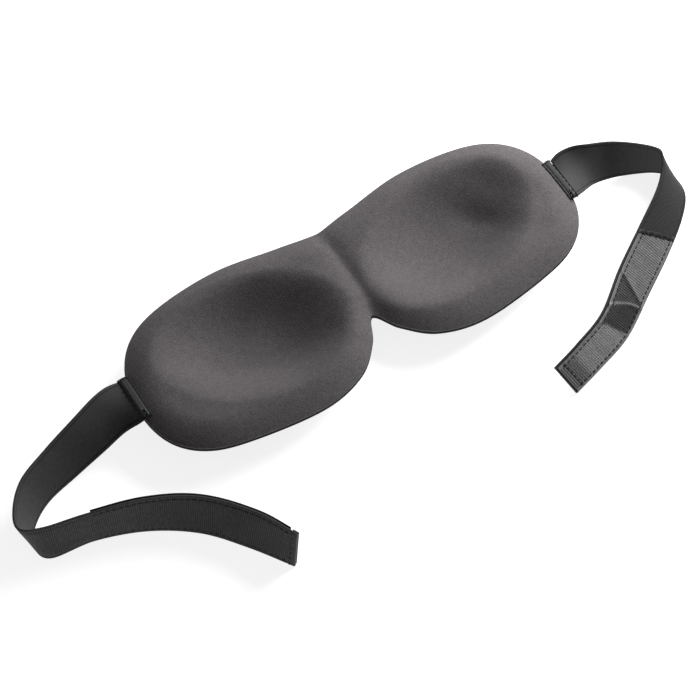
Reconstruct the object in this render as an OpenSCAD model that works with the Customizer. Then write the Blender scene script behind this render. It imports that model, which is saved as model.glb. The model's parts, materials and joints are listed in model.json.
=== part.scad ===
// Contoured sleep eye mask with two sewn webbing straps.
// The mask lies with its eye cups down: +X runs along the mask, +Y towards the brow
// and +Z towards the face. The straps stand on their lower edges beside it.

/* [Mask] */
// Length over both lobes
mask_length = 240; // [210:5:260]
// Height of a lobe, from cheek to brow
mask_height = 91; // [80:1:100]
// Height of the pressed edge above the surface it lies on
edge_height = 17; // [15:0.5:20]
// Thickness of the pressed edge
edge_thick = 2.6; // [2.2:0.1:3.5]
// Rise of the padded rim above the pressed edge
rim_rise = 5; // [3:0.5:6]
// Width of the rim's rounded shoulder
shoulder = 14; // [10:0.5:15]
// Depth of an eye cavity below the rim
cavity_depth = 17; // [12:0.5:17.5]
// Thickness of the lining and of the front cover
cover_thick = 0.7; // [0.5:0.1:0.9]
// How far the bridge dips between the two lobes
bridge_dip = 2; // [0:0.1:4]

/* [Straps] */
// Width of the webbing
web_width = 22; // [20:0.5:25]
// Thickness of the webbing
web_thick = 1.2; // [0.8:0.1:1.5]
// Thickness of the loop pile strip
loop_thick = 1.6; // [1:0.1:2]
// Thickness of the moulded hook strip
hook_thick = 0.8; // [0.6:0.1:1.2]
// Length of one stitch
stitch_length = 2; // [1:0.25:3]

/* [Hidden] */

// Place of the mask's centre, so that the origin is under the middle of the whole object
mask_x = 10;
mask_y = 28;

// Clearances: between layers of one body, and between two bodies
layer_gap = 0.05;
tape_gap = 0.15;
body_gap = 0.3;

// Half outline of the mask at 240 x 91: brow dip, lobe, tip, cheek, nose notch
outline = [[0, 38], [20, 40.5], [52, 45.3], [84, 42.8], [104, 35], [116, 20], [120, -2],
           [116, -21], [104, -34], [84, -41], [46, -45.5], [22, -40], [8, -27.5], [0, -15]];
sx = mask_length / 240;
sy = mask_height / 91;

// Centre, half sizes and tilt of an eye cavity, then the cup that bulges out under it
cavity_at = [54.5 * sx, 3 * sy];
cavity_size = [50.5 * sx, 35.5 * sy];
cavity_tilt = 0.14;
eye = [60 * sx, 1 * sy];
cup_size = [57 * sx, 43 * sy];
bridge_half = 4.5;
bridge_round = 2.5;

// Grid of each layer: rings from the eye out, steps per outline span, steps on the centre line
rings = [0.16, 0.32, 0.46, 0.58, 0.7, 0.8, 0.88, 0.94, 0.98, 1];
span_steps = 3;
bridge_steps = 6;

// Point on a smooth curve through the points p, at the real index u
function at(p, i) = i < 0 ? 2 * p[0] - p[1] : i > len(p) - 1 ? 2 * p[len(p) - 1] - p[len(p) - 2] : p[i];
function curve(p, u, first, last) =
    let (i = min(floor(u), len(p) - 2), t = u - i,
         a = i == 0 && first != undef ? first : at(p, i - 1), b = p[i], c = p[i + 1],
         d = i == len(p) - 2 && last != undef ? last : at(p, i + 2))
    0.5 * (2 * b + (c - a) * t + (2 * a - 5 * b + 4 * c - d) * t * t + (3 * b - a - 3 * c + d) * t * t * t);
function unit(v) = v / norm(v);

// The half outline as a fine polyline, mirrored neighbours keeping it smooth on the centre line
edge_points = [for (k = [0 : span_steps * (len(outline) - 1)])
    let (p = curve(outline, k / span_steps, [-outline[1].x, outline[1].y],
                   [-outline[len(outline) - 2].x, outline[len(outline) - 2].y]))
    [max(0, p.x) * sx, p.y * sy]];
notch_y = edge_points[len(edge_points) - 1].y;
brow_y = edge_points[0].y;
bridge_points = [for (k = [1 : bridge_steps - 1]) [0, notch_y + (brow_y - notch_y) * k / bridge_steps]];
perimeter = concat(edge_points, bridge_points);

// Distance of the point p from the mask's edge
function to_segment(p, a, b) =
    let (ab = b - a, t = max(0, min(1, (p - a) * ab / (ab * ab)))) norm(p - a - t * ab);
function edge_distance(p) =
    min([for (k = [1 : len(edge_points) - 1]) to_segment(p, edge_points[k - 1], edge_points[k])]);

// Heights of the face side and of the front side over the point p of the right half
function dip(p) = bridge_dip * exp((bridge_round - norm([p.x, bridge_round])) / bridge_half);
function shoulder_rise(p) = 1 - pow(1 - min(1, edge_distance(p) / shoulder), 1.8);
function reach(p, centre, size) = norm([(p.x - centre.x) / size.x, (p.y - centre.y) / size.y]);
function cavity(p) =
    let (r = reach([p.x, p.y - cavity_tilt * (p.x - cavity_at.x)], cavity_at, cavity_size))
    r < 1 ? pow(1 - pow(r, 2.4), 1.8) : 0;
function cup(p) = let (r = reach(p, eye, cup_size)) r < 1 ? pow(1 - r * r, 1.6) : 0;
function face_z(p) = edge_height - dip(p) + shoulder_rise(p) * (rim_rise - dip(p) * 0.8)
                     - cavity_depth * cavity(p);
function front_z(p) = (edge_height - edge_thick - dip(p)) * max(0, 1 - 1.06 * cup(p));

// Level between the two sides: n covers down from the face, or n covers up from the front
function level_z(p, level) = level[0] == "face" ? face_z(p) - level[1] : front_z(p) + level[1];

// One layer of the right half between two levels
module layer(top, bottom) {
    n = len(perimeter);
    m = len(rings);
    gap = body_gap / 2;
    flat = concat([eye], [for (r = rings) for (q = perimeter) let (p = eye + r * (q - eye)) [max(gap, p.x), p.y]]);
    count = len(flat);
    points = concat([for (p = flat) [p.x, p.y, level_z(p, top)]],
                    [for (p = flat) [p.x, p.y, level_z(p, bottom)]]);
    fan = [for (k = [0 : n - 1]) [0, 1 + k, 1 + (k + 1) % n]];
    quads = [for (j = [0 : m - 2]) for (k = [0 : n - 1])
        let (a = 1 + j * n + k, b = 1 + j * n + (k + 1) % n) each [[a, a + n, b + n], [a, b + n, b]]];
    wall = [for (k = [0 : n - 1]) let (a = 1 + (m - 1) * n + k, b = 1 + (m - 1) * n + (k + 1) % n)
        each [[a, a + count, b + count], [a, b + count, b]]];
    under = [for (f = concat(fan, quads)) [f[0] + count, f[2] + count, f[1] + count]];
    polyhedron(points, concat(fan, quads, under, wall));
}

module right_half() { translate([mask_x, mask_y, 0]) children(); }
module left_half() { translate([mask_x, mask_y, 0]) mirror([1, 0, 0]) children(); }

module lining_layer() { color([0.28, 0.26, 0.27]) layer(["face", 0], ["face", cover_thick]); }
module foam_layer() {
    color([0.2, 0.2, 0.21])
        layer(["face", cover_thick + layer_gap], ["front", cover_thick + layer_gap]);
}
module cover_layer() { color([0.1, 0.1, 0.1]) layer(["front", cover_thick], ["front", 0]); }

module right_face_lining() { right_half() lining_layer(); }
module right_foam_core() { right_half() foam_layer(); }
module right_front_cover() { right_half() cover_layer(); }
module left_face_lining() { left_half() lining_layer(); }
module left_foam_core() { left_half() foam_layer(); }
module left_front_cover() { left_half() cover_layer(); }

// Each folded tab covers a root seam: its inner and outer edge, and the two ends of the seam
right_tab_inner = 116.6 * sx;
left_tab_inner = 115.2 * sx;
tab_outer = 120.3 * sx;
tab_flat = 117 * sx;
right_seam = [-13.5, 11.5];
left_seam = [-7, 18];
tab_thick = 1.1;
tab_lift = 0.1;
tack_lift = 0.3 + tab_thick;
thread = 0.4;

function tab_z(x, y) = face_z([min(x, tab_flat), y]);

// A patch that follows the mask's face from x0 to x1 and y0 to y1, between two lifts above it
module patch(x0, x1, y0, y1, lift0, lift1, nx = 1, ny = 1) {
    top = [for (j = [0 : ny]) for (i = [0 : nx])
        let (x = x0 + (x1 - x0) * i / nx, y = y0 + (y1 - y0) * j / ny) [x, y, tab_z(x, y) + lift1]];
    count = len(top);
    points = concat(top, [for (p = top) p - [0, 0, lift1 - lift0]]);
    row = nx + 1;
    cells = [for (j = [0 : ny - 1]) for (i = [0 : nx - 1])
        let (a = j * row + i, b = a + row) each [[a, b, b + 1], [a, b + 1, a + 1]]];
    under = [for (f = cells) [f[0] + count, f[2] + count, f[1] + count]];
    rim = concat([for (i = [0 : nx]) i], [for (j = [1 : ny]) j * row + nx],
                 [for (i = [1 : nx]) ny * row + nx - i], [for (j = [1 : ny - 1]) (ny - j) * row]);
    m = len(rim);
    wall = [for (k = [0 : m - 1]) let (a = rim[k], b = rim[(k + 1) % m])
        each [[a, b, b + count], [a, b + count, a + count]]];
    polyhedron(points, concat(cells, under, wall));
}

module root_tab(inner, seam) {
    color([0.2, 0.2, 0.2]) patch(inner, tab_outer, seam[0], seam[1], tab_lift, tab_lift + tab_thick, 6, 10);
}

// Two bar tacks hold the corners of a tab
module root_tacks(inner, seam) {
    color([0.08, 0.08, 0.08])
        for (y = [seam[0] + 1, seam[1] - 3])
            patch(inner + 0.8, inner + 3, y, y + 2, tack_lift, tack_lift + thread, 3, 1);
}

module root_stitches(inner, seam) {
    color([0.08, 0.08, 0.08])
        for (y = [seam[0] + 4 : 3 : seam[1] - 5])
            patch(inner + 1.5, inner + 2, y, y + stitch_length, tack_lift, tack_lift + thread);
}

module right_root_tab() { right_half() root_tab(right_tab_inner, right_seam); }
module right_root_tacks() { right_half() root_tacks(right_tab_inner, right_seam); }
module right_root_stitches() { right_half() root_stitches(right_tab_inner, right_seam); }
module left_root_tab() { left_half() root_tab(left_tab_inner, left_seam); }
module left_root_tacks() { left_half() root_tacks(left_tab_inner, left_seam); }
module left_root_stitches() { left_half() root_stitches(left_tab_inner, left_seam); }

// Stations along each strap: a point of the lower edge, and the way to the upper edge
left_stations = [
    [[-120.9, -6, 19], [0, 22, -2]], [[-130, -5, 13], [-4, 20, 7]], [[-141, -6, 8], [-7, 16, 12]],
    [[-158, -8, 3], [-9, 12, 16]], [[-176, -12, 1], [-8, 8, 20]], [[-188, -20, 0.4], [-6, 3, 21]],
    [[-192, -29, 0.3], [-4, 3, 22]], [[-188, -37, 0.3], [1, 6, 21]], [[-167, -40, 0.3], [1, 4, 22]],
    [[-144, -49, 0.4], [3, 6, 21]], [[-124, -63, 0.4], [5, 8, 19]], [[-109, -81, 0.4], [8, 6, 19]],
    [[-96, -100, 0.4], [5, 5, 21]]];
right_stations = [
    [[120.9, -12, 18.5], [1, 22, -1]], [[130, -9, 12], [0, 20, 8]], [[141, -6, 5], [-1, 14, 17]],
    [[155, -7, 0.6], [-1, 9, 20]], [[170, -14, 0.4], [-2, 2, 22]], [[176, -22, 0.4], [-7, 4, 20]],
    [[175, -33, 0.5], [-11, 9, 17]], [[165, -44, 0.6], [-9, 13, 15]], [[147, -57, 0.6], [-10, 14, 13]],
    [[126, -70, 0.6], [-10, 13, 13]], [[103, -84, 0.6], [-10, 11, 16]], [[82, -91, 0.6], [-9, 10, 17]],
    [[64, -96, 0.6], [-8, 10, 18]]];
left_bend_at = 6;
right_bend_at = 5;
bend_gap = 0.025;
strap_end = 12;

// Lower edge, unit vector across the webbing and unit normal at the real station u
function feet(s) = [for (q = s) q[0]];
function lean(s) = [for (q = s) q[1]];
function across(s, u) = unit(curve(lean(s), u));
function middle(s, u) = curve(feet(s), u) + across(s, u) * web_width / 2;
function normal(s, u) = let (du = 0.02, u0 = max(0, u - du), u1 = min(strap_end, u + du))
    unit(cross(middle(s, u1) - middle(s, u0), across(s, u)));

// A strip of a strap from station u0 to u1: w is measured across it, n out of its middle surface
module band(s, u0, u1, w0, w1, n0, n1, steps = 1) {
    rows = [for (k = [0 : steps]) let (u = u0 + (u1 - u0) * k / steps,
                                       p = curve(feet(s), u), d = across(s, u), n = normal(s, u))
        [for (c = [[w0, n0], [w1, n0], [w1, n1], [w0, n1]]) p + d * c[0] + n * c[1]]];
    sides = [for (k = [0 : steps - 1]) for (i = [0 : 3])
        let (a = 4 * k + i, b = 4 * k + (i + 1) % 4)
            each i < 2 ? [[a, a + 4, b + 4], [a, b + 4, b]] : [[a, a + 4, b], [a + 4, b + 4, b]]];
    last = 4 * steps;
    caps = [[0, 1, 2], [0, 2, 3], [last + 2, last + 1, last], [last + 3, last + 2, last]];
    translate([mask_x, mask_y, 0]) polyhedron([for (r = rows) each r], concat(sides, caps));
}

// The webbing with its woven core, from one station to another
module webbing(s, u0, u1, steps) {
    color([0.17, 0.17, 0.17]) band(s, u0, u1, 0, web_width, -web_thick / 2, web_thick / 2, steps);
}

// A row of stitches along a strap at the height w, lying on the surface n
module long_row(s, u0, u1, count, w, n0, n1) {
    for (k = [0 : count - 1])
        let (u = u0 + (u1 - u0) * (k + 0.2) / count, v = u + (u1 - u0) * 0.6 / count)
            band(s, u, v, w, w + thread, n0, n1);
}

// A row of stitches across a strap at the station u
module cross_row(s, u, du, count, w0, w1, n0, n1) {
    pitch = (w1 - w0) / count;
    for (k = [0 : count - 1])
        band(s, u, u + du, w0 + (k + 0.15) * pitch, w0 + (k + 0.85) * pitch, n0, n1);
}

module left_strap_far_run() { webbing(left_stations, 0, left_bend_at - bend_gap, 36); }
module left_strap_near_run() { webbing(left_stations, left_bend_at + bend_gap, strap_end, 48); }
module right_strap_far_run() { webbing(right_stations, 0, right_bend_at - bend_gap, 30); }
module right_strap_near_run() { webbing(right_stations, right_bend_at + bend_gap, strap_end, 56); }

// Faces of the webbing: the left strap's outer face is +n, the right strap's is -n
face_n = web_thick / 2 + tape_gap;
hem_thick = 0.9;
stitch_inset = 2;
thread_du = 0.02;

// The loop pile strip lies on the inner face of the left strap, from its step to the hem
loop_from = 8.05;
loop_to = 11.8;
module loop_strip() {
    color([0.14, 0.14, 0.14])
        band(left_stations, loop_from, loop_to, 0.6, web_width + 0.2, -face_n - loop_thick, -face_n, 40);
}
module loop_stitches() {
    color([0.08, 0.08, 0.08]) {
        for (w = [stitch_inset, web_width - stitch_inset])
            long_row(left_stations, loop_from + 0.1, loop_to - 0.1, 28, w, face_n, face_n + thread);
        cross_row(left_stations, loop_from + 0.1, thread_du, 6, stitch_inset + 1, web_width - stitch_inset,
                  face_n, face_n + thread);
    }
}

// The left strap's end is folded over to its inner face, past the loop strip's end
hem_from = 11.86;
module left_end_hem() {
    color([0.15, 0.15, 0.15])
        band(left_stations, hem_from, strap_end, 0.6, web_width - 0.2, -face_n - hem_thick, -face_n, 2);
}
module left_hem_stitches() {
    color([0.08, 0.08, 0.08])
        cross_row(left_stations, hem_from + 0.04, thread_du, 7, 1, web_width - 1, face_n, face_n + thread);
}

// The hook strip lies on the outer face of the right strap's near run
hook_from = 7.6;
hook_to = 11.95;
hook_margin = 0.9;
hook_end_row = 11.78;
module hook_strip() {
    color([0.42, 0.42, 0.43])
        band(right_stations, hook_from, hook_to, hook_margin, web_width - hook_margin,
             -face_n - hook_thick, -face_n, 44);
}
hook_face = face_n + hook_thick + tape_gap;
module hook_stitches() {
    color([0.05, 0.05, 0.05]) {
        for (w = [hook_margin + stitch_inset, web_width - hook_margin - stitch_inset])
            long_row(right_stations, hook_from + 0.1, hook_end_row, 32, w, -hook_face - thread, -hook_face);
        cross_row(right_stations, hook_end_row, thread_du, 6, 4, web_width - 4,
                  -hook_face - thread, -hook_face);
    }
}
module hook_bar_tack() {
    color([0.05, 0.05, 0.05])
        band(right_stations, hook_from + 0.03, hook_from + 0.09, 3, web_width - 3,
             -hook_face - thread, -hook_face, 2);
}

right_face_lining();
right_foam_core();
right_front_cover();
left_face_lining();
left_foam_core();
left_front_cover();
right_root_tab();
right_root_tacks();
right_root_stitches();
left_root_tab();
left_root_tacks();
left_root_stitches();
left_strap_far_run();
left_strap_near_run();
loop_strip();
loop_stitches();
left_end_hem();
left_hem_stitches();
right_strap_far_run();
right_strap_near_run();
hook_strip();
hook_stitches();
hook_bar_tack();
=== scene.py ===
"""Contoured sleep eye mask: moulded foam between two cloths, with two sewn webbing straps.

The part's own coordinates are millimetres from the middle of the mask, on the surface it lies on:
+X along the mask, +Y towards the brow and +Z towards the wearer's face.
"""

import json
import logging
import math
from dataclasses import dataclass, field
from enum import Enum
from typing import Callable, Iterable, Sequence

import bmesh
import bpy
import numpy as np
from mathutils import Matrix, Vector


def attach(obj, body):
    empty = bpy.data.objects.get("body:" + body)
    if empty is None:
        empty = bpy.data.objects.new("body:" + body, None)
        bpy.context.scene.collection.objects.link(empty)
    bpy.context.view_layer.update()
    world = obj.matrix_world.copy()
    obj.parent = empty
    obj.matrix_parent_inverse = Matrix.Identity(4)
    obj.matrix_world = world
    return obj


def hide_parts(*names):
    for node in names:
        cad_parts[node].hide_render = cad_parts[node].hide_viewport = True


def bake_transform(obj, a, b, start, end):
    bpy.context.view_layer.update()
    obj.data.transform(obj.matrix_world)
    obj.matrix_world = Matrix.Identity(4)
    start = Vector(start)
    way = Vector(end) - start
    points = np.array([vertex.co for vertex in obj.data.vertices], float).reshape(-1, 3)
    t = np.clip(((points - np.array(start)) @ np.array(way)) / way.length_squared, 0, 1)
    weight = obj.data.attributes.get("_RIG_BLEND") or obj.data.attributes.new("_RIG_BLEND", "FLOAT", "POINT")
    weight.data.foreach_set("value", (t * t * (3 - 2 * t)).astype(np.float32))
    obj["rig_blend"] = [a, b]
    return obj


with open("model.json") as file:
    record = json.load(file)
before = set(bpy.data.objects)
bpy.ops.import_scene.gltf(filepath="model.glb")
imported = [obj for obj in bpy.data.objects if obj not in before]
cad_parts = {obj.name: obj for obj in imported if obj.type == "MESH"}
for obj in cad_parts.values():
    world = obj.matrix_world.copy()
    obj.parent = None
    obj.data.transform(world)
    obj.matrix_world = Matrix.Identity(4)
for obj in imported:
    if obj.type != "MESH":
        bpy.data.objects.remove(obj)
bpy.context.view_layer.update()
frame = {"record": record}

LOG = logging.getLogger("sleep_mask")
MM = 0.001
RIGHT_EYE = (60.0, 1.0)  # where the right eye's resting point lies, in mm from the mask's middle

Array = np.ndarray
Value = bpy.types.NodeSocket | float | tuple  # what a node's input takes: a socket, or its own value


def mask_middle() -> Array:
    """Return the mask's middle on the surface it lies on, in metres."""
    mount = next(m for m in frame["record"]["mounts"] if m["name"] == "rest_right")
    return np.array(mount["pos_m"], float) - np.array([RIGHT_EYE[0], RIGHT_EYE[1], 0.0]) * MM


MIDDLE = mask_middle()


def place(points: Array) -> Array:
    """Turn points in mm from the mask's middle into metres in the frame."""
    return np.asarray(points, float) * MM + MIDDLE


def unit(vectors: Array) -> Array:
    """Scale each vector of the last axis to length one."""
    return vectors / np.linalg.norm(vectors, axis=-1, keepdims=True)


def smooth_step(values: Array, low: float, high: float) -> Array:
    """Rise smoothly from 0 at low to 1 at high."""
    t = np.clip((np.asarray(values, float) - low) / (high - low), 0, 1)
    return t * t * (3 - 2 * t)


def curve(points: Sequence, at: Array, before: Array | None = None, after: Array | None = None) -> Array:
    """Follow a smooth curve through points.

    Args:
        points: the points that the curve passes, as rows.
        at: real indices into the points.
        before: the neighbour before the first point, if it isn't the mirrored second one.
        after: the neighbour after the last point, if it isn't the mirrored last but one.

    Returns:
        One point for each index.
    """
    p = np.asarray(points, float)
    first = 2 * p[0] - p[1] if before is None else np.asarray(before, float)
    last = 2 * p[-1] - p[-2] if after is None else np.asarray(after, float)
    padded = np.vstack([first, p, last])
    at = np.asarray(at, float)
    i = np.clip(np.floor(at).astype(int), 0, len(p) - 2)
    t = (at - i)[..., None]
    a, b, c, d = (padded[i + k] for k in range(4))
    return 0.5 * (2 * b + (c - a) * t + (2 * a - 5 * b + 4 * c - d) * t**2 + (3 * b - a - 3 * c + d) * t**3)


# ---------------------------------------------------------------- meshes


def make_object(name: str, points: Array, faces: Iterable, materials: Sequence = (),
                edges: Iterable = (), tidy: bool = True) -> bpy.types.Object:
    """Make a mesh object at the origin from points in mm.

    Args:
        name: the object's name.
        points: rows of x, y, z in mm from the mask's middle.
        faces: index lists.
        materials: materials for its slots, in order.
        edges: index pairs, for a wire.
        tidy: whether its doubles are merged and its faces turned outwards.

    Returns:
        The linked object.
    """
    mesh = bpy.data.meshes.new(name)
    mesh.from_pydata(place(points).tolist(), [tuple(e) for e in edges], [tuple(f) for f in faces])
    for material in materials:
        mesh.materials.append(material)
    if tidy:
        turn_outwards(mesh, merge=True)
        shade(mesh)
    return link_object(name, mesh)


def link_object(name: str, data: bpy.types.ID) -> bpy.types.Object:
    """Make an object of a mesh, a light or a camera, and link it."""
    made = bpy.data.objects.new(name, data)
    bpy.context.scene.collection.objects.link(made)
    return made


def shade(mesh: bpy.types.Mesh, crease: float = 50.0) -> None:
    """Shade a mesh smooth, apart from edges sharper than crease degrees."""
    mesh.polygons.foreach_set("use_smooth", [True] * len(mesh.polygons))
    mesh.set_sharp_from_angle(angle=math.radians(crease))


def turn_outwards(mesh: bpy.types.Mesh, merge: bool = False) -> None:
    """Turn a mesh's faces outwards, after its doubles are merged if merge is set."""
    shell = bmesh.new()
    shell.from_mesh(mesh)
    if merge:
        bmesh.ops.remove_doubles(shell, verts=shell.verts, dist=2e-6)
    bmesh.ops.recalc_face_normals(shell, faces=shell.faces)
    shell.to_mesh(mesh)
    shell.free()


def points_of(mesh: bpy.types.Mesh) -> Array:
    """Return a mesh's points in metres."""
    co = np.zeros(len(mesh.vertices) * 3)
    mesh.vertices.foreach_get("co", co)
    return co.reshape(-1, 3)


def set_uv(made: bpy.types.Object, uv: Array) -> None:
    """Give a mesh a UV map in metres, from one row for each of its points."""
    mesh = made.data
    index = np.zeros(len(mesh.loops), int)
    mesh.loops.foreach_get("vertex_index", index)
    layer = mesh.uv_layers.get("UVMap") or mesh.uv_layers.new(name="UVMap")
    layer.data.foreach_set("uv", uv[index].ravel().astype(np.float32))


def set_attribute(made: bpy.types.Object, name: str, values: Array) -> None:
    """Store one number or one vector for each point of a mesh."""
    kind, key = ("FLOAT", "value") if np.ndim(values) == 1 else ("FLOAT_VECTOR", "vector")
    layer = made.data.attributes.new(name, kind, "POINT")
    layer.data.foreach_set(key, np.asarray(values, np.float32).ravel())


def finish_modifiers(made: bpy.types.Object) -> bpy.types.Object:
    """Turn an object with modifiers into a plain mesh, and shade it smooth."""
    bpy.context.view_layer.update()
    graph = bpy.context.evaluated_depsgraph_get()
    result = bpy.data.meshes.new_from_object(made.evaluated_get(graph))
    made.modifiers.clear()
    made.data = result
    shade(result)
    return made


def grid_faces(rows: int, columns: int, closed: bool) -> list:
    """Return the faces of a grid whose rows follow each other, closed round each row or open."""
    last = columns if closed else columns - 1
    return [(r * columns + c, r * columns + (c + 1) % columns,
             (r + 1) * columns + (c + 1) % columns, (r + 1) * columns + c)
            for r in range(rows - 1) for c in range(last)]


# ---------------------------------------------------------------- node trees


def add_node(tree: bpy.types.NodeTree, kind: str, inputs: dict | None = None,
             **settings: object) -> bpy.types.Node:
    """Add a node to a tree.

    Args:
        tree: the tree.
        kind: the node's type.
        inputs: a value or a socket for each input, by name or number.
        settings: the node's own settings.

    Returns:
        The new node.
    """
    made = tree.nodes.new(kind)
    for key, value in settings.items():
        setattr(made, key, value)
    for key, value in (inputs or {}).items():
        if isinstance(value, bpy.types.NodeSocket):
            tree.links.new(value, made.inputs[key])
        else:
            made.inputs[key].default_value = value
    return made


def maths(tree: bpy.types.NodeTree, operation: str, *values: Value) -> bpy.types.NodeSocket:
    """Add a Math node and return its result."""
    return add_node(tree, "ShaderNodeMath", dict(enumerate(values)), operation=operation).outputs[0]


def blend_colours(tree: bpy.types.NodeTree, factor: Value, first: Value,
                  second: Value) -> bpy.types.NodeSocket:
    """Add a colour Mix node and return its result."""
    mix = add_node(tree, "ShaderNodeMix", data_type="RGBA")
    for key, value in (("Factor", factor), ("A", first), ("B", second)):
        wanted = "VALUE" if key == "Factor" else "RGBA"
        socket = next(s for s in mix.inputs if s.name == key and s.type == wanted)
        if isinstance(value, bpy.types.NodeSocket):
            tree.links.new(value, socket)
        else:
            socket.default_value = value if key == "Factor" else (*value, 1)
    return next(s for s in mix.outputs if s.type == "RGBA")


class Kind(Enum):
    """The two kinds of node group, with the kind of socket that each gives out."""

    SHAPE = ("GeometryNodeTree", "Geometry")
    LOOK = ("ShaderNodeTree", "Float")


def new_group(kind: Kind, name: str, inputs: dict, outputs: Sequence) -> tuple:
    """Start a node group.

    Args:
        kind: what the group makes.
        name: the group's name.
        inputs: for each input its default number, or else the kind of its socket.
        outputs: the names of its outputs.

    Returns:
        The tree, its input node and its output node.
    """
    tree = bpy.data.node_groups.new(name, kind.value[0])
    for label, value in inputs.items():
        socket = {float: "Float", int: "Int"}.get(type(value), value)
        item = tree.interface.new_socket(label, in_out="INPUT", socket_type=f"NodeSocket{socket}")
        if value is not socket:
            item.default_value = value
    for label in outputs:
        tree.interface.new_socket(label, in_out="OUTPUT", socket_type=f"NodeSocket{kind.value[1]}")
    return tree, tree.nodes.new("NodeGroupInput"), tree.nodes.new("NodeGroupOutput")


def place_group(tree: bpy.types.NodeTree, group: bpy.types.NodeTree, where: bpy.types.NodeSocket,
                **values: float) -> bpy.types.NodeOutputs:
    """Place a shader group at coordinates, with values for its inputs, and return its outputs."""
    node = add_node(tree, "ShaderNodeGroup", node_tree=group)
    tree.links.new(where, node.inputs["Vector"])
    for label, value in values.items():
        node.inputs[label.replace("_", " ")].default_value = value
    return node.outputs


def stored(tree: bpy.types.NodeTree, name: str, kind: str = "FLOAT") -> bpy.types.NodeSocket:
    """Read an attribute that the points or faces hold."""
    node = add_node(tree, "GeometryNodeInputNamedAttribute", {"Name": name}, data_type=kind)
    return node.outputs["Attribute"]


def end_tree(tree: bpy.types.NodeTree, end: bpy.types.Node, shape: bpy.types.NodeSocket,
             **dressing: bpy.types.NodeSocket) -> bpy.types.NodeTree:
    """Realize a shape, set its material, and give it out."""
    real = add_node(tree, "GeometryNodeRealizeInstances", {"Geometry": shape})
    dressed = add_node(tree, "GeometryNodeSetMaterial", {"Geometry": real.outputs[0], **dressing})
    tree.links.new(dressed.outputs[0], end.inputs["Geometry"])
    return tree


def run_nodes(made: bpy.types.Object, tree: bpy.types.NodeTree, **values: object) -> bpy.types.Object:
    """Run a Geometry Nodes tree on an object and keep its result as a plain mesh.

    Args:
        made: the object.
        tree: the tree.
        values: its inputs, with underscores for the spaces in their names.

    Returns:
        The same object.
    """
    modifier = made.modifiers.new("shape", "NODES")
    modifier.node_group = tree
    sockets = {s.name: s.identifier for s in tree.interface.items_tree if s.in_out == "INPUT"}
    for label, value in values.items():
        modifier[sockets[label.replace("_", " ")]] = value
    return finish_modifiers(made)


def ribs_tree() -> bpy.types.NodeTree:
    """Build the tree that raises woven ribs on the points that hold an outward vector."""
    tree, start, end = new_group(
        Kind.SHAPE, "woven_ribs",
        {"Geometry": "Geometry", "Pitch": 1.0, "Height": 0.1, "Face Material": "Material"}, ["Geometry"])
    half_turns = maths(tree, "DIVIDE", stored(tree, "run"), start.outputs["Pitch"])
    wave = maths(tree, "ABSOLUTE", maths(tree, "COSINE", maths(tree, "MULTIPLY", half_turns, math.pi)))
    lift = maths(tree, "MULTIPLY", wave, start.outputs["Height"])
    offset = add_node(tree, "ShaderNodeVectorMath",
                      {0: stored(tree, "outward", "FLOAT_VECTOR"), "Scale": lift}, operation="SCALE")
    moved = add_node(tree, "GeometryNodeSetPosition",
                     {"Geometry": start.outputs["Geometry"], "Offset": offset.outputs[0]})
    return end_tree(tree, end, moved.outputs[0], Selection=stored(tree, "ribbed", "BOOLEAN"),
                    Material=start.outputs["Face Material"])


@dataclass(frozen=True)
class Thread:
    """The centre line of one stitch or hook.

    Attributes:
        name: what it is.
        bends: its start, middle and end, as shares of its length and of its height.
        steps: how many steps the line has.
        sides: how many sides the thread has.
    """

    name: str
    bends: tuple
    steps: int
    sides: int


class Template(Enum):
    """What a row repeats."""

    STITCH = Thread("stitch", ((-0.5, -0.6), (0.0, 2.4), (0.5, -0.6)), 6, 6)
    HOOK = Thread("hook", ((0.0, -0.2), (0.0, 1.9), (1.0, 0.55)), 4, 4)


def template_curve(tree: bpy.types.NodeTree, template: Template, length: Value,
                   height: Value) -> bpy.types.NodeSocket:
    """Add the centre line of one stitch or of one hook, along X and up along Z."""
    line = add_node(tree, "GeometryNodeCurveQuadraticBezier", {"Resolution": template.value.steps})
    for label, (along, up) in zip(("Start", "Middle", "End"), template.value.bends):
        point = add_node(tree, "ShaderNodeCombineXYZ", {"X": maths(tree, "MULTIPLY", length, along),
                                                        "Z": maths(tree, "MULTIPLY", height, up)})
        tree.links.new(point.outputs[0], line.inputs[label])
    return line.outputs[0]


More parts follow.
